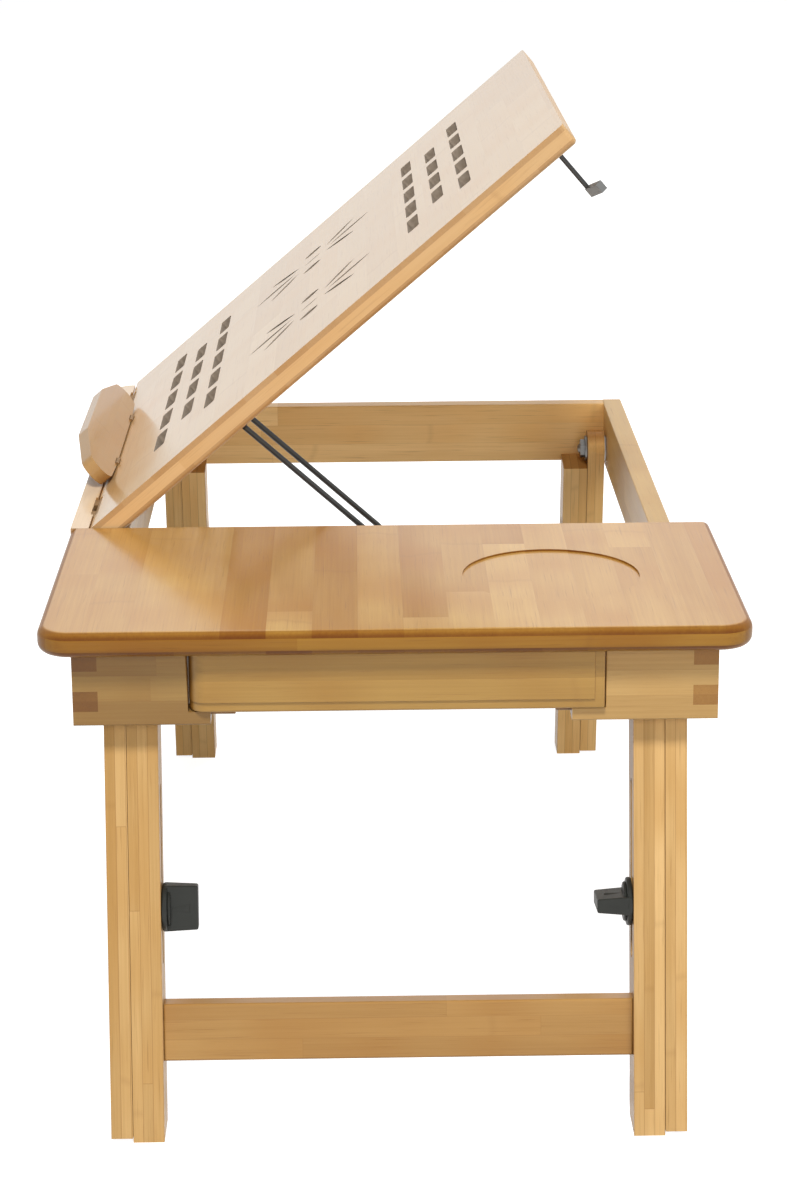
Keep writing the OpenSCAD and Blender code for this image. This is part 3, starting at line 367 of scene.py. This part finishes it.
    relief = calc(tree, "SUBTRACT", calc(tree, "MULTIPLY", fibre, 0.5), calc(tree, "ADD", pores, glue))
    ripple(tree, shader, relief, 0.25, 0.00006)
    return material


def blank(node_name):
    """The milled blank of a piece: its CAD solid with the faces merged."""
    shape = bmesh.new()
    shape.from_mesh(frame["nodes"][node_name].data)
    bmesh.ops.remove_doubles(shape, verts=shape.verts, dist=0.000004)
    bmesh.ops.dissolve_limit(shape, angle_limit=math.radians(0.6), verts=shape.verts, edges=shape.edges,
                             use_dissolve_boundaries=False)
    return shape


def middle(edge):
    """The middle of an edge."""
    return (edge.verts[0].co + edge.verts[1].co) / 2


def sharp_edges(shape, pick):
    """The outer edges of a blank that pick chooses, sharper than 30 degrees."""
    return [e for e in shape.edges if e.is_manifold and e.is_convex
            and e.calc_face_angle(0) > math.radians(30) and pick(e)]


def ease(shape, radius, pick=lambda e: True, segments=3):
    """Rounds the chosen edges."""
    chosen = sharp_edges(shape, pick)
    if chosen:
        bmesh.ops.bevel(shape, geom=chosen, offset=radius, offset_type="OFFSET", segments=segments,
                        profile=0.5, affect="EDGES", material=-1, clamp_overlap=True)


def slot_wall_brown(name):
    """A dark brown with fine streaks, for the walls of the cut slots."""
    material, tree, shader, coords = skin(name)
    streak = mottle(tree, coords, 420, 4)
    tree.links.new(lerp(tree, streak, (0.19, 0.145, 0.105), (0.46, 0.38, 0.30)),
                   shader.inputs["Base Color"])
    tree.links.new(calc(tree, "MULTIPLY_ADD", streak, 0.2, 0.6), shader.inputs["Roughness"])
    return material


def finished(name, shape, material, body, stands_for, cut=None):
    """Makes the object, shades it, hangs it on the body it rides on and hides the parts it stands for."""
    for face in shape.faces:
        face.smooth = True
    for edge in shape.edges:
        edge.smooth = not edge.is_manifold or edge.calc_face_angle(0) < math.radians(38)
    mesh = bpy.data.meshes.new(name)
    shape.to_mesh(mesh)
    shape.free()
    piece = bpy.data.objects.new(name, mesh)
    bpy.context.scene.collection.objects.link(piece)
    mesh.materials.append(material)
    if cut is not None:
        mesh.materials.append(cut)
    normals = piece.modifiers.new("even_normals", "WEIGHTED_NORMAL")
    normals.keep_sharp = True
    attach(piece, body)
    if stands_for:
        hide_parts(*stands_for)
    return piece


low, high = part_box("fixed_board")
board_low, board_top, joint_x = low.z, high.z, low.x
shape = blank("fixed_board")
ease(shape, UNDER_ROUND, lambda e: middle(e).z < board_low + 1e-5 and middle(e).x > joint_x + 1e-4, 6)
ease(shape, TOP_ROUND, lambda e: middle(e).z > board_top - 1e-5 and middle(e).x > joint_x + 1e-4
     and (abs(middle(e).y) > 0.14 or middle(e).x > high.x - 0.02), 6)
board_wood = bamboo("fixed_board_bamboo", X, Y, Vector((0, 0.004, (board_low + board_top) / 2)),
                    BOARD_STRIP, seed=3.0, core=CORE_HALF)
finished("fixed_top", shape, board_wood, "frame", ["fixed_board"])

# ---- Front strip ----
# One solid strip along the user's side, glued on the front rail and level with the boards. The
# tilting board hangs on it by two small hinges.
STRIP_ROUND = 0.0034
SANDED = 0.0004
shape = blank("front_strip")
low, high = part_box("front_strip")
ease(shape, STRIP_ROUND, lambda e: middle(e).z > high.z - 1e-5 and middle(e).y < low.y + 0.0082
     and middle(e).x < joint_x - 0.001, 5)
ease(shape, SANDED, lambda e: (e.verts[0].co - e.verts[1].co).length > 0.02
     and middle(e).z < high.z - 0.004, 2)
strip_wood = bamboo("front_strip_bamboo", X, Y, low, 0.0095, seed=11.0, dark=(0.66, 0.47, 0.28),
                    light=(0.78, 0.58, 0.38), strip_change=0.3, flecks=0.15)
finished("hinge_strip", shape, strip_wood, "frame", ["front_strip"])

# ---- Rails ----
# The box under the boards: long rails with two fingers through each end rail, sanded flush, a
# short end rail at each side of the drawer, and cross rails that carry drawer and prop.
RAIL_STRIP = 0.0132
RAIL_ROUND = 0.0009
# Tones per rail, with painted light and shade: the far end rail and the rear rail are painted paler, as
# painted light and sheen on them, and the front drawer end rail is darker, partly its own tone and partly
# painted shade from the board above.
RAIL_TONES_AND_PAINTED_LIGHT = {"drawer_end_rail_front": ((0.23, 0.12, 0.032), (0.38, 0.23, 0.07)),
              "far_end_rail": ((0.68, 0.40, 0.138), (0.93, 0.62, 0.27)),
              "rear_rail": ((0.44, 0.255, 0.077), (0.63, 0.41, 0.153))}
COMMON_RAIL = ((0.38, 0.21, 0.062), (0.58, 0.365, 0.135))
FINGER_END = {"front_rail": (0.38, 0.27, 0.15)}


def long_edge(edge, least=0.0165):
    """True for an edge longer than the least."""
    return (edge.verts[0].co - edge.verts[1].co).length > least


for count, (name, along) in enumerate((("front_rail", X), ("rear_rail", X), ("far_end_rail", Y),
                                       ("drawer_end_rail_front", Y), ("drawer_end_rail_rear", Y),
                                       ("mid_rail", Y), ("prop_rail", Y), ("drawer_runners", X))):
    shape = blank(name)
    ease(shape, RAIL_ROUND, long_edge)
    low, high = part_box(name)
    dark, light = RAIL_TONES_AND_PAINTED_LIGHT.get(name, COMMON_RAIL)
    wood = bamboo(name + "_bamboo", along, Z, low - Z * 0.0004, RAIL_STRIP, strip_l=0.33,
                  seed=20.0 + count, dark=dark, light=light, coat=0.5, coat_rough=0.22, lines=0.2,
                  end=FINGER_END.get(name, END_TONE))
    finished(name + "_wood", shape, wood, "frame", [name])

# ---- Tilting board ----
# The same three-ply panel, with slots for air, two cut leaf ornaments and rounded edges. Its
# hinged edge is turned round about the hinge pin.
TILT = math.radians(40.5)
RIM_TOP_ROUND = 0.0027
RIM_LOW_ROUND = 0.0024
RIM_WIDE = 0.008
CUT_FROM_RIM = 0.012
pin = Vector(joints["board_tilt"]["pos_m"])
rise_way = Vector((0, math.cos(TILT), math.sin(TILT)))
face_way = Vector((0, -math.sin(TILT), math.cos(TILT)))
shape = blank("tilt_board")
heights = [(v.co - pin).dot(face_way) for v in shape.verts]
tilt_top, tilt_low = max(heights), min(heights)
far_edge = max((v.co - pin).dot(rise_way) for v in shape.verts)
low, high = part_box("tilt_board")


def on_rim(edge, height):
    """True for an edge of the board's outline at this height over the hinge pin."""
    at = middle(edge)
    level_with = abs((at - pin).dot(face_way) - height) < 1e-5
    up_board = (at - pin).dot(rise_way)
    near_side = at.x < low.x + RIM_WIDE or at.x > high.x - RIM_WIDE or up_board > far_edge - RIM_WIDE
    return level_with and near_side


ease(shape, RIM_TOP_ROUND, lambda e: on_rim(e, tilt_top), 5)
ease(shape, RIM_LOW_ROUND, lambda e: on_rim(e, tilt_low), 5)
for face in shape.faces:
    heart = face.calc_center_median()
    up_board = (heart - pin).dot(rise_way)
    inside = (low.x + CUT_FROM_RIM < heart.x < high.x - CUT_FROM_RIM
              and CUT_FROM_RIM < up_board < far_edge - CUT_FROM_RIM)
    # the walls of the cut slots get the second material, a dark brown with fine streaks
    if inside and abs(face.normal.dot(face_way)) < 0.3:
        face.material_index = 1
panel_middle = pin + face_way * (tilt_top + tilt_low) / 2
tilt_wood = bamboo("tilting_board_bamboo", X, rise_way, panel_middle, BOARD_STRIP, seed=41.0,
                   core=CORE_HALF, light=(0.72, 0.48, 0.235), dark=(0.60, 0.37, 0.16), lines=0.03,
                   edge=(1.0, 1.0, 1.05), end=(0.72, 0.66, 0.60), flecks=0.12)
finished("tilting_top", shape, tilt_wood, "board", ["tilt_board"],
         slot_wall_brown("slot_wall_dark"))

# ---- Book ledge ----
# A low six-sided ledge that keeps a book on the board. It is sawn from one strip, its edges are
# rounded over, and it folds down on two small hinges.
LEDGE_ROUND = 0.0034
shape = blank("book_ledge")
ease(shape, LEDGE_ROUND, lambda e: long_edge(e, 0.0003), 6)
low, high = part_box("book_ledge")
ledge_wood = bamboo("book_ledge_bamboo", X, face_way, low, 0.016, seed=55.0,
                    dark=(0.38, 0.212, 0.075), light=(0.49, 0.297, 0.117), coat=0.7, strip_change=0.3,
                    lines=0.03, end=(1, 1, 1), flecks=0.1)
finished("ledge", shape, ledge_wood, "ledge", ["book_ledge"])

# ---- Wire prop ----
# One dark zinc-plated wire, bent into a long U whose turned-in ends sit in two eye brackets under
# the board. Its foot stands on the notched cross rail.
DARK_ZINC = (0.055, 0.055, 0.054)
WIRE_R = 0.0016
WIRE_BEND = 0.0038
TURN_IN = 0.0075


def plated(name, colour, rough, metal=1.0, grain=900.0, spread=0.10):
    """Plated steel: fine mottling in colour and roughness, and a slight ripple."""
    material, tree, shader, coords = skin(name)
    speck = mottle(tree, coords, grain, 4)
    cloud = mottle(tree, coords, grain / 12)
    shader.inputs["Metallic"].default_value = metal
    bright = tuple(min(1.0, c * 1.35) for c in colour)
    tree.links.new(lerp(tree, cloud, colour, bright), shader.inputs["Base Color"])
    tree.links.new(calc(tree, "MULTIPLY_ADD", speck, spread * 2, rough - spread),
                   shader.inputs["Roughness"])
    ripple(tree, shader, speck, 0.12, 0.00005)
    return material


def bent_wire(corners, bend, radius, sides=20, steps=6):
    """A wire along a path whose corners are bent to an arc: a ring spun along it."""
    path = [corners[0]]
    for before, at, after in zip(corners, corners[1:], corners[2:]):
        a, b = (before - at).normalized(), (after - at).normalized()
        half = a.angle(b) / 2
        reach = bend / math.tan(half)
        heart = at + (a + b).normalized() * (bend / math.sin(half))
        start, stop = at + a * reach - heart, at + b * reach - heart
        for k in range(steps + 1):
            path.append(heart + start.slerp(stop, k / steps).normalized() * bend)
    path.append(corners[-1])
    shape = bmesh.new()
    ring = bmesh.ops.create_circle(shape, segments=sides, radius=radius)["verts"]
    way = (path[1] - path[0]).normalized()
    bmesh.ops.transform(shape, verts=ring, matrix=Matrix.Translation(path[0])
                        @ way.to_track_quat("Z", "Y").to_matrix().to_4x4())
    bmesh.ops.contextual_create(shape, geom=shape.edges[:])
    last = ring
    for k in range(1, len(path)):
        edges = [e for e in shape.edges if all(v in last for v in e.verts)]
        grown = bmesh.ops.extrude_edge_only(shape, edges=edges)["geom"]
        fresh = [v for v in grown if isinstance(v, bmesh.types.BMVert)]
        ahead = (path[min(k + 1, len(path) - 1)] - path[k - 1]).normalized()
        turn = way.rotation_difference(ahead).to_matrix().to_4x4()
        bmesh.ops.transform(shape, verts=fresh, matrix=Matrix.Translation(path[k]) @ turn
                            @ Matrix.Translation(-path[k - 1]))
        way = ahead
        last = fresh
    bmesh.ops.contextual_create(shape, geom=[e for e in shape.edges if all(v in last for v in e.verts)])
    bmesh.ops.recalc_face_normals(shape, faces=shape.faces)
    return shape


pivot = Vector(joints["prop_swing"]["pos_m"])
wire_low, wire_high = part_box("wire_prop")
foot = Vector((0, wire_high.y - WIRE_R, wire_low.z + WIRE_R))
wire_x = (wire_low.x + WIRE_R, wire_high.x - WIRE_R)
corners = [Vector((wire_x[0] + TURN_IN, pivot.y, pivot.z)), Vector((wire_x[0], pivot.y, pivot.z)),
           Vector((wire_x[0], foot.y, foot.z)), Vector((wire_x[1], foot.y, foot.z)),
           Vector((wire_x[1], pivot.y, pivot.z)), Vector((wire_x[1] - TURN_IN, pivot.y, pivot.z))]
wire_metal = plated("dark_zinc_wire", DARK_ZINC, 0.36, metal=0.75)
finished("prop_wire", bent_wire(corners, WIRE_BEND, WIRE_R), wire_metal, "prop", ["wire_prop"])

# ---- Prop eyes and latch ----
# Two stamped eye brackets carry the wire. The latch is a rod through a flanged bush in the board,
# with a flat foot riveted on its end.
zinc = plated("bright_zinc", (0.46, 0.45, 0.43), 0.34)
dull_zinc = plated("dull_zinc", (0.20, 0.20, 0.195), 0.42, metal=0.8)
for name, body, round_off, metal, slot in (
        ("prop_eyes", "board", 0.0003, dull_zinc, "steel"), ("latch_bush", "board", 0.0003, zinc, "steel"),
        ("latch_rod", "latch", 0.0005, wire_metal, "dark_wire"),
        ("latch_foot", "latch", 0.0007, dull_zinc, "steel")):
    shape = blank(name)
    ease(shape, round_off, segments=2)
    finished(name + "_metal", shape, metal, body, [name])

# ---- Hinges and screws ----
# Rolled steel leaves on loose pins, let into the wood and held by countersunk screws. They keep
# the shape of the construction and get their plating here.
old_brass = plated("old_brass", (0.30, 0.18, 0.08), 0.5, metal=0.6)
for name in ("board_hinge_frame_leaves", "board_hinge_board_leaves", "board_hinge_pins",
             "board_hinge_frame_screws", "board_hinge_board_screws", "prop_eye_screws",
             "ledge_hinge_leaves", "ledge_hinge_tops", "ledge_hinge_pins", "leg_pivot_washers",
             "guide_pins_drawer", "guide_pins_far"):
    fixture = frame["nodes"][name]
    fixture.data.materials.clear()
    fixture.data.materials.append(old_brass if "_hinge_" in name else zinc)

# ---- Drawer ----
# A plain box of thin boards glued to a thick front, whose face is milled back along the bottom and
# the rear end. The front end is rounded off for the fingers.
BORDER = 0.005
STEP_BACK = 0.001
END_ROUND = 0.0085
BACK_SHY = 0.0002
BOARD_EASE = 0.0006
DRAWER_STRIP = 0.0205
low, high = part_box("drawer_front")
layers = []
for low_at, high_at, soft in ((low, high - X * STEP_BACK, 0.0011),
                              (low + X * BACK_SHY + Z * BORDER, high - Y * BORDER, BOARD_EASE)):
    layer = bmesh.new()
    bmesh.ops.create_cube(layer, size=1, matrix=Matrix.Translation((low_at + high_at) / 2)
                          @ Matrix.Diagonal((*(high_at - low_at), 1)))
    ease(layer, END_ROUND, lambda e: middle(e).x > high_at.x - 1e-5 and middle(e).y < low_at.y + 1e-5, 9)
    ease(layer, soft, lambda e: middle(e).x > low_at.x + 0.001, 3)
    sheet = bpy.data.objects.new("layer", bpy.data.meshes.new("layer"))
    layer.to_mesh(sheet.data)
    layer.free()
    bpy.context.scene.collection.objects.link(sheet)
    layers.append(sheet)
weld = layers[0].modifiers.new("weld", "BOOLEAN")
weld.operation, weld.solver, weld.object = "UNION", "EXACT", layers[1]
shape = bmesh.new()
shape.from_object(layers[0], bpy.context.evaluated_depsgraph_get())
for sheet in layers:
    bpy.data.meshes.remove(sheet.data)
front_wood = bamboo("drawer_front_bamboo", Y, Z, low - Z * 0.004, DRAWER_STRIP, seed=61.0, strip_l=0.5,
                    dark=(0.31, 0.165, 0.034), light=(0.48, 0.28, 0.072), coat=0.6, coat_rough=0.22)
finished("drawer_face", shape, front_wood, "drawer", ["drawer_front"])
for count, (name, along, across) in enumerate((("drawer_side_front", X, Z), ("drawer_side_rear", X, Z),
                                               ("drawer_back", Y, Z), ("drawer_bottom", X, Y))):
    shape = blank(name)
    ease(shape, BOARD_EASE, long_edge)
    low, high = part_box(name)
    wood = bamboo(name + "_bamboo", along, across, low, DRAWER_STRIP, seed=70.0 + count, coat=0.5,
                  coat_rough=0.3)
    finished(name + "_wood", shape, wood, "drawer", [name])

# ---- Legs ----
# Each leg is two flat bars face to face: the outer one turns on the rail and stops on the floor,
# the inner one slides past it. A crossbar ties the inner bars together.
LEG_STRIP = 0.0052
BAR_STRIP = 0.0102
LEG_ROUND = 0.0011
LEG_DARK = (0.46, 0.265, 0.09)
LEG_LIGHT = (0.72, 0.46, 0.195)
# The far legs are painted paler than the near ones: painted light in the tilting board's shadow.
FAR_DARK_WITH_PAINTED_LIGHT = (0.66, 0.385, 0.13)
FAR_LIGHT_WITH_PAINTED_LIGHT = (0.90, 0.60, 0.26)
for end, end_count, dark, light in (("drawer", 0, LEG_DARK, LEG_LIGHT), ("far", 1, FAR_DARK_WITH_PAINTED_LIGHT, FAR_LIGHT_WITH_PAINTED_LIGHT)):
    up_leg = Vector(joints["extend_" + end]["axis"])
    for side, side_count in (("front", 0), ("rear", 1)):
        for part, body, part_count in (("upper_leg", "legs_" + end, 0),
                                       ("lower_leg", "legs_" + end + "_lower", 1)):
            name = f"{part}_{end}_{side}"
            shape = blank(name)
            ease(shape, LEG_ROUND, lambda e: long_edge(e, 0.0085))
            low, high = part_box(name)
            wood = bamboo(name + "_bamboo", up_leg, Y, low, LEG_STRIP, strip_l=0.62,
                          seed=80.0 + 4 * end_count + 2 * side_count + part_count,
                          dark=dark, light=light, coat=0.25, coat_rough=0.2, strip_change=0.7,
                          lines=0.45)
            finished(name + "_wood", shape, wood, body, [name])
    name = "crossbar_" + end
    shape = blank(name)
    ease(shape, LEG_ROUND, long_edge)
    low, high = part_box(name)
    wood = bamboo(name + "_bamboo", Y, up_leg, low, BAR_STRIP, strip_l=0.2, seed=96.0 + end_count,
                  dark=(0.33, 0.165, 0.043), light=(0.48, 0.27, 0.085), coat=0.5, coat_rough=0.2,
                  strip_change=0.8, lines=0.25)
    finished(name + "_wood", shape, wood, "legs_" + end + "_lower", [name])

# ---- Leg bolts and nuts ----
# Button-head bolts with a hexagon socket, their heads outside; the pivots end in domed cap nuts
# inside the legs and the clamp bolts in the knobs.
HEAD_R = 0.007
HEAD_T = 0.002
SOCKET_R = 0.0023
HEAD_ROUND = 0.0009
NUT_FACE_R = 0.0085
NUT_R = 0.0062
DOME_R = 0.0048
NUT_HIGH = 0.0060


def grow(shape, rim, push=0.0, spread=1.0):
    """Extrudes an open rim, moves it along Z and widens it; gives the new rim."""
    made = bmesh.ops.extrude_edge_only(shape, edges=rim)["geom"]
    verts = [v for v in made if isinstance(v, bmesh.types.BMVert)]
    bmesh.ops.scale(shape, verts=verts, vec=(spread, spread, 1))
    bmesh.ops.translate(shape, verts=verts, vec=(0, 0, push))
    return [e for e in shape.edges if all(v in verts for v in e.verts)]


def add(shape, part):
    """Puts a finished part into a shape that holds several."""
    carrier = bpy.data.meshes.new("carrier")
    part.to_mesh(carrier)
    part.free()
    shape.from_mesh(carrier)
    bpy.data.meshes.remove(carrier)


def bolt(shape, head_face, inward, length, shank_r=0.003):
    """Adds a bolt whose head's face is at head_face and whose shank runs inward."""
    part = bmesh.new()
    bmesh.ops.create_circle(part, segments=48, radius=HEAD_R)
    rim = part.edges[:]
    bmesh.ops.create_circle(part, segments=6, radius=SOCKET_R)
    bmesh.ops.subdivide_edges(part, edges=[e for e in part.edges if e not in rim], cuts=7)
    socket = [e for e in part.edges if e not in rim]
    bmesh.ops.bridge_loops(part, edges=rim + socket)
    pit = grow(part, socket, push=-HEAD_T * 0.7)
    bmesh.ops.contextual_create(part, geom=pit)
    skirt = grow(part, rim, push=-HEAD_T)
    waist = grow(part, skirt, spread=shank_r / HEAD_R)
    tip = grow(part, waist, push=HEAD_T - length)
    bmesh.ops.contextual_create(part, geom=tip)
    bmesh.ops.recalc_face_normals(part, faces=part.faces)
    bmesh.ops.bevel(part, geom=rim, offset=HEAD_ROUND, offset_type="OFFSET", segments=4, profile=0.5,
                    affect="EDGES", material=-1)
    turn = Matrix.Translation(head_face) @ (-inward).to_track_quat("Z", "Y").to_matrix().to_4x4()
    bmesh.ops.transform(part, verts=part.verts, matrix=turn)
    add(shape, part)


def dome_nut(shape, seat, inward):
    """A hexagon cap nut with a washer face at its seat and a dome over the bolt's end."""
    turn = Matrix.Translation(seat) @ inward.to_track_quat("Z", "Y").to_matrix().to_4x4()
    for sides, r1, r2, start, stop in ((48, NUT_FACE_R, NUT_FACE_R - 0.0002, 0, 0.0012),
                                       (6, NUT_R, NUT_R, 0.001, 0.0042)):
        bmesh.ops.create_cone(shape, cap_ends=True, segments=sides, radius1=r1, radius2=r2,
                              depth=stop - start,
                              matrix=turn @ Matrix.Translation((0, 0, (start + stop) / 2)))
    bmesh.ops.create_uvsphere(shape, u_segments=32, v_segments=16, radius=DOME_R,
                              matrix=turn @ Matrix.Translation((0, 0, NUT_HIGH - DOME_R)))


for end in ("drawer", "far"):
    clamps = bmesh.new()
    bolts_low, bolts_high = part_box("clamp_bolts_" + end)
    for side, way in (("front", -1), ("rear", 1)):
        clamp_at = Vector(joints[f"knob_{end}_{side}_turn"]["pos_m"])
        face_y = bolts_low.y if way < 0 else bolts_high.y
        tail = abs(face_y) - abs(clamp_at.y)
        bolt(clamps, Vector((clamp_at.x, face_y, clamp_at.z)), -Y * way, tail)
    finished("clamp_bolts_" + end + "_metal", clamps, zinc, "legs_" + end, ["clamp_bolts_" + end])
pivots, caps = bmesh.new(), bmesh.new()
bolts_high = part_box("leg_pivot_bolts")[1]
leg_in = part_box("upper_leg_drawer_rear")[0].y
for end in ("drawer", "far"):
    pivot_at = Vector(joints["fold_" + end]["pos_m"])
    for way in (-1, 1):
        bolt(pivots, Vector((pivot_at.x, way * bolts_high.y, pivot_at.z)), -Y * way,
             bolts_high.y - leg_in + 0.004)
        dome_nut(caps, Vector((pivot_at.x, way * (leg_in - 0.0003), pivot_at.z)), -Y * way)
finished("leg_pivot_bolts_metal", pivots, zinc, "frame", ["leg_pivot_bolts"])
finished("leg_pivot_cap_nuts", caps, dull_zinc, "frame", ["leg_pivot_nuts"])

# ---- Wing knobs ----
# Black nylon, moulded in one piece: a stepped flange, a round hub and one broad wing with tapered
# sides and soft corners. One knob of each pair is turned broadside, the other edge on.
KNOB_OUT = 0.018
KNOB_WIDE = 0.0238
KNOB_THICK = 0.0098
FLANGE_R = 0.01225
STEP_R = 0.0100
HUB_R = 0.0046
KNOB_ROUND = 0.0009
WING_SEAT = 0.0004


def nylon(name):
    """Moulded black nylon: a fine spark texture and slow changes of sheen."""
    material, tree, shader, coords = skin(name)
    flow = mottle(tree, coords, 90)
    tree.links.new(lerp(tree, flow, (0.017, 0.018, 0.0155), (0.031, 0.032, 0.028)),
                   shader.inputs["Base Color"])
    tree.links.new(calc(tree, "MULTIPLY_ADD", flow, 0.2, 0.34), shader.inputs["Roughness"])
    shader.inputs["Specular IOR Level"].default_value = 0.3
    ripple(tree, shader, mottle(tree, coords, 2600, 3), 0.25, 0.00008)
    return material


black_nylon = nylon("black_nylon")
for end in ("drawer", "far"):
    up_leg = Vector(joints["extend_" + end]["axis"])
    for side, way in (("front", -1), ("rear", 1)):
        name = f"knob_{end}_{side}"
        joint = joints[name + "_turn"]
        low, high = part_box(name)
        base_y = low.y if way < 0 else high.y
        out_way = Y * -way
        wing_way = up_leg if side == "front" else up_leg.cross(out_way)
        seat = Vector((joint["pos_m"][0], base_y, joint["pos_m"][2]))
        turn = Matrix((wing_way.cross(out_way), wing_way, out_way)).transposed().to_4x4()
        turn = Matrix.Translation(seat) @ turn
        shape = bmesh.new()
        for radius, start, stop in ((FLANGE_R, 0, 0.0026), (STEP_R, 0.0024, 0.0042),
                                    (HUB_R, 0.0040, 0.0140)):
            bmesh.ops.create_cone(shape, cap_ends=True, segments=48, radius1=radius, radius2=radius,
                                  depth=stop - start, matrix=Matrix.Translation((0, 0, (start + stop) / 2)))
        wing = bmesh.ops.create_cube(shape, size=1)["verts"]
        bmesh.ops.scale(shape, verts=wing, vec=(KNOB_THICK, KNOB_WIDE, KNOB_OUT - WING_SEAT))
        bmesh.ops.translate(shape, verts=wing, vec=(0, 0, (KNOB_OUT + WING_SEAT) / 2))
        tips = [v for v in wing if v.co.z > KNOB_OUT - 1e-5]
        bmesh.ops.scale(shape, verts=tips, vec=(0.72, 0.95, 1))
        ease(shape, KNOB_ROUND)
        bmesh.ops.transform(shape, verts=shape.verts, matrix=turn)
        finished(name + "_nylon", shape, black_nylon, name, [name])

# ---- Sizes ----
# The box of the dressed object.
low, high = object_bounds()
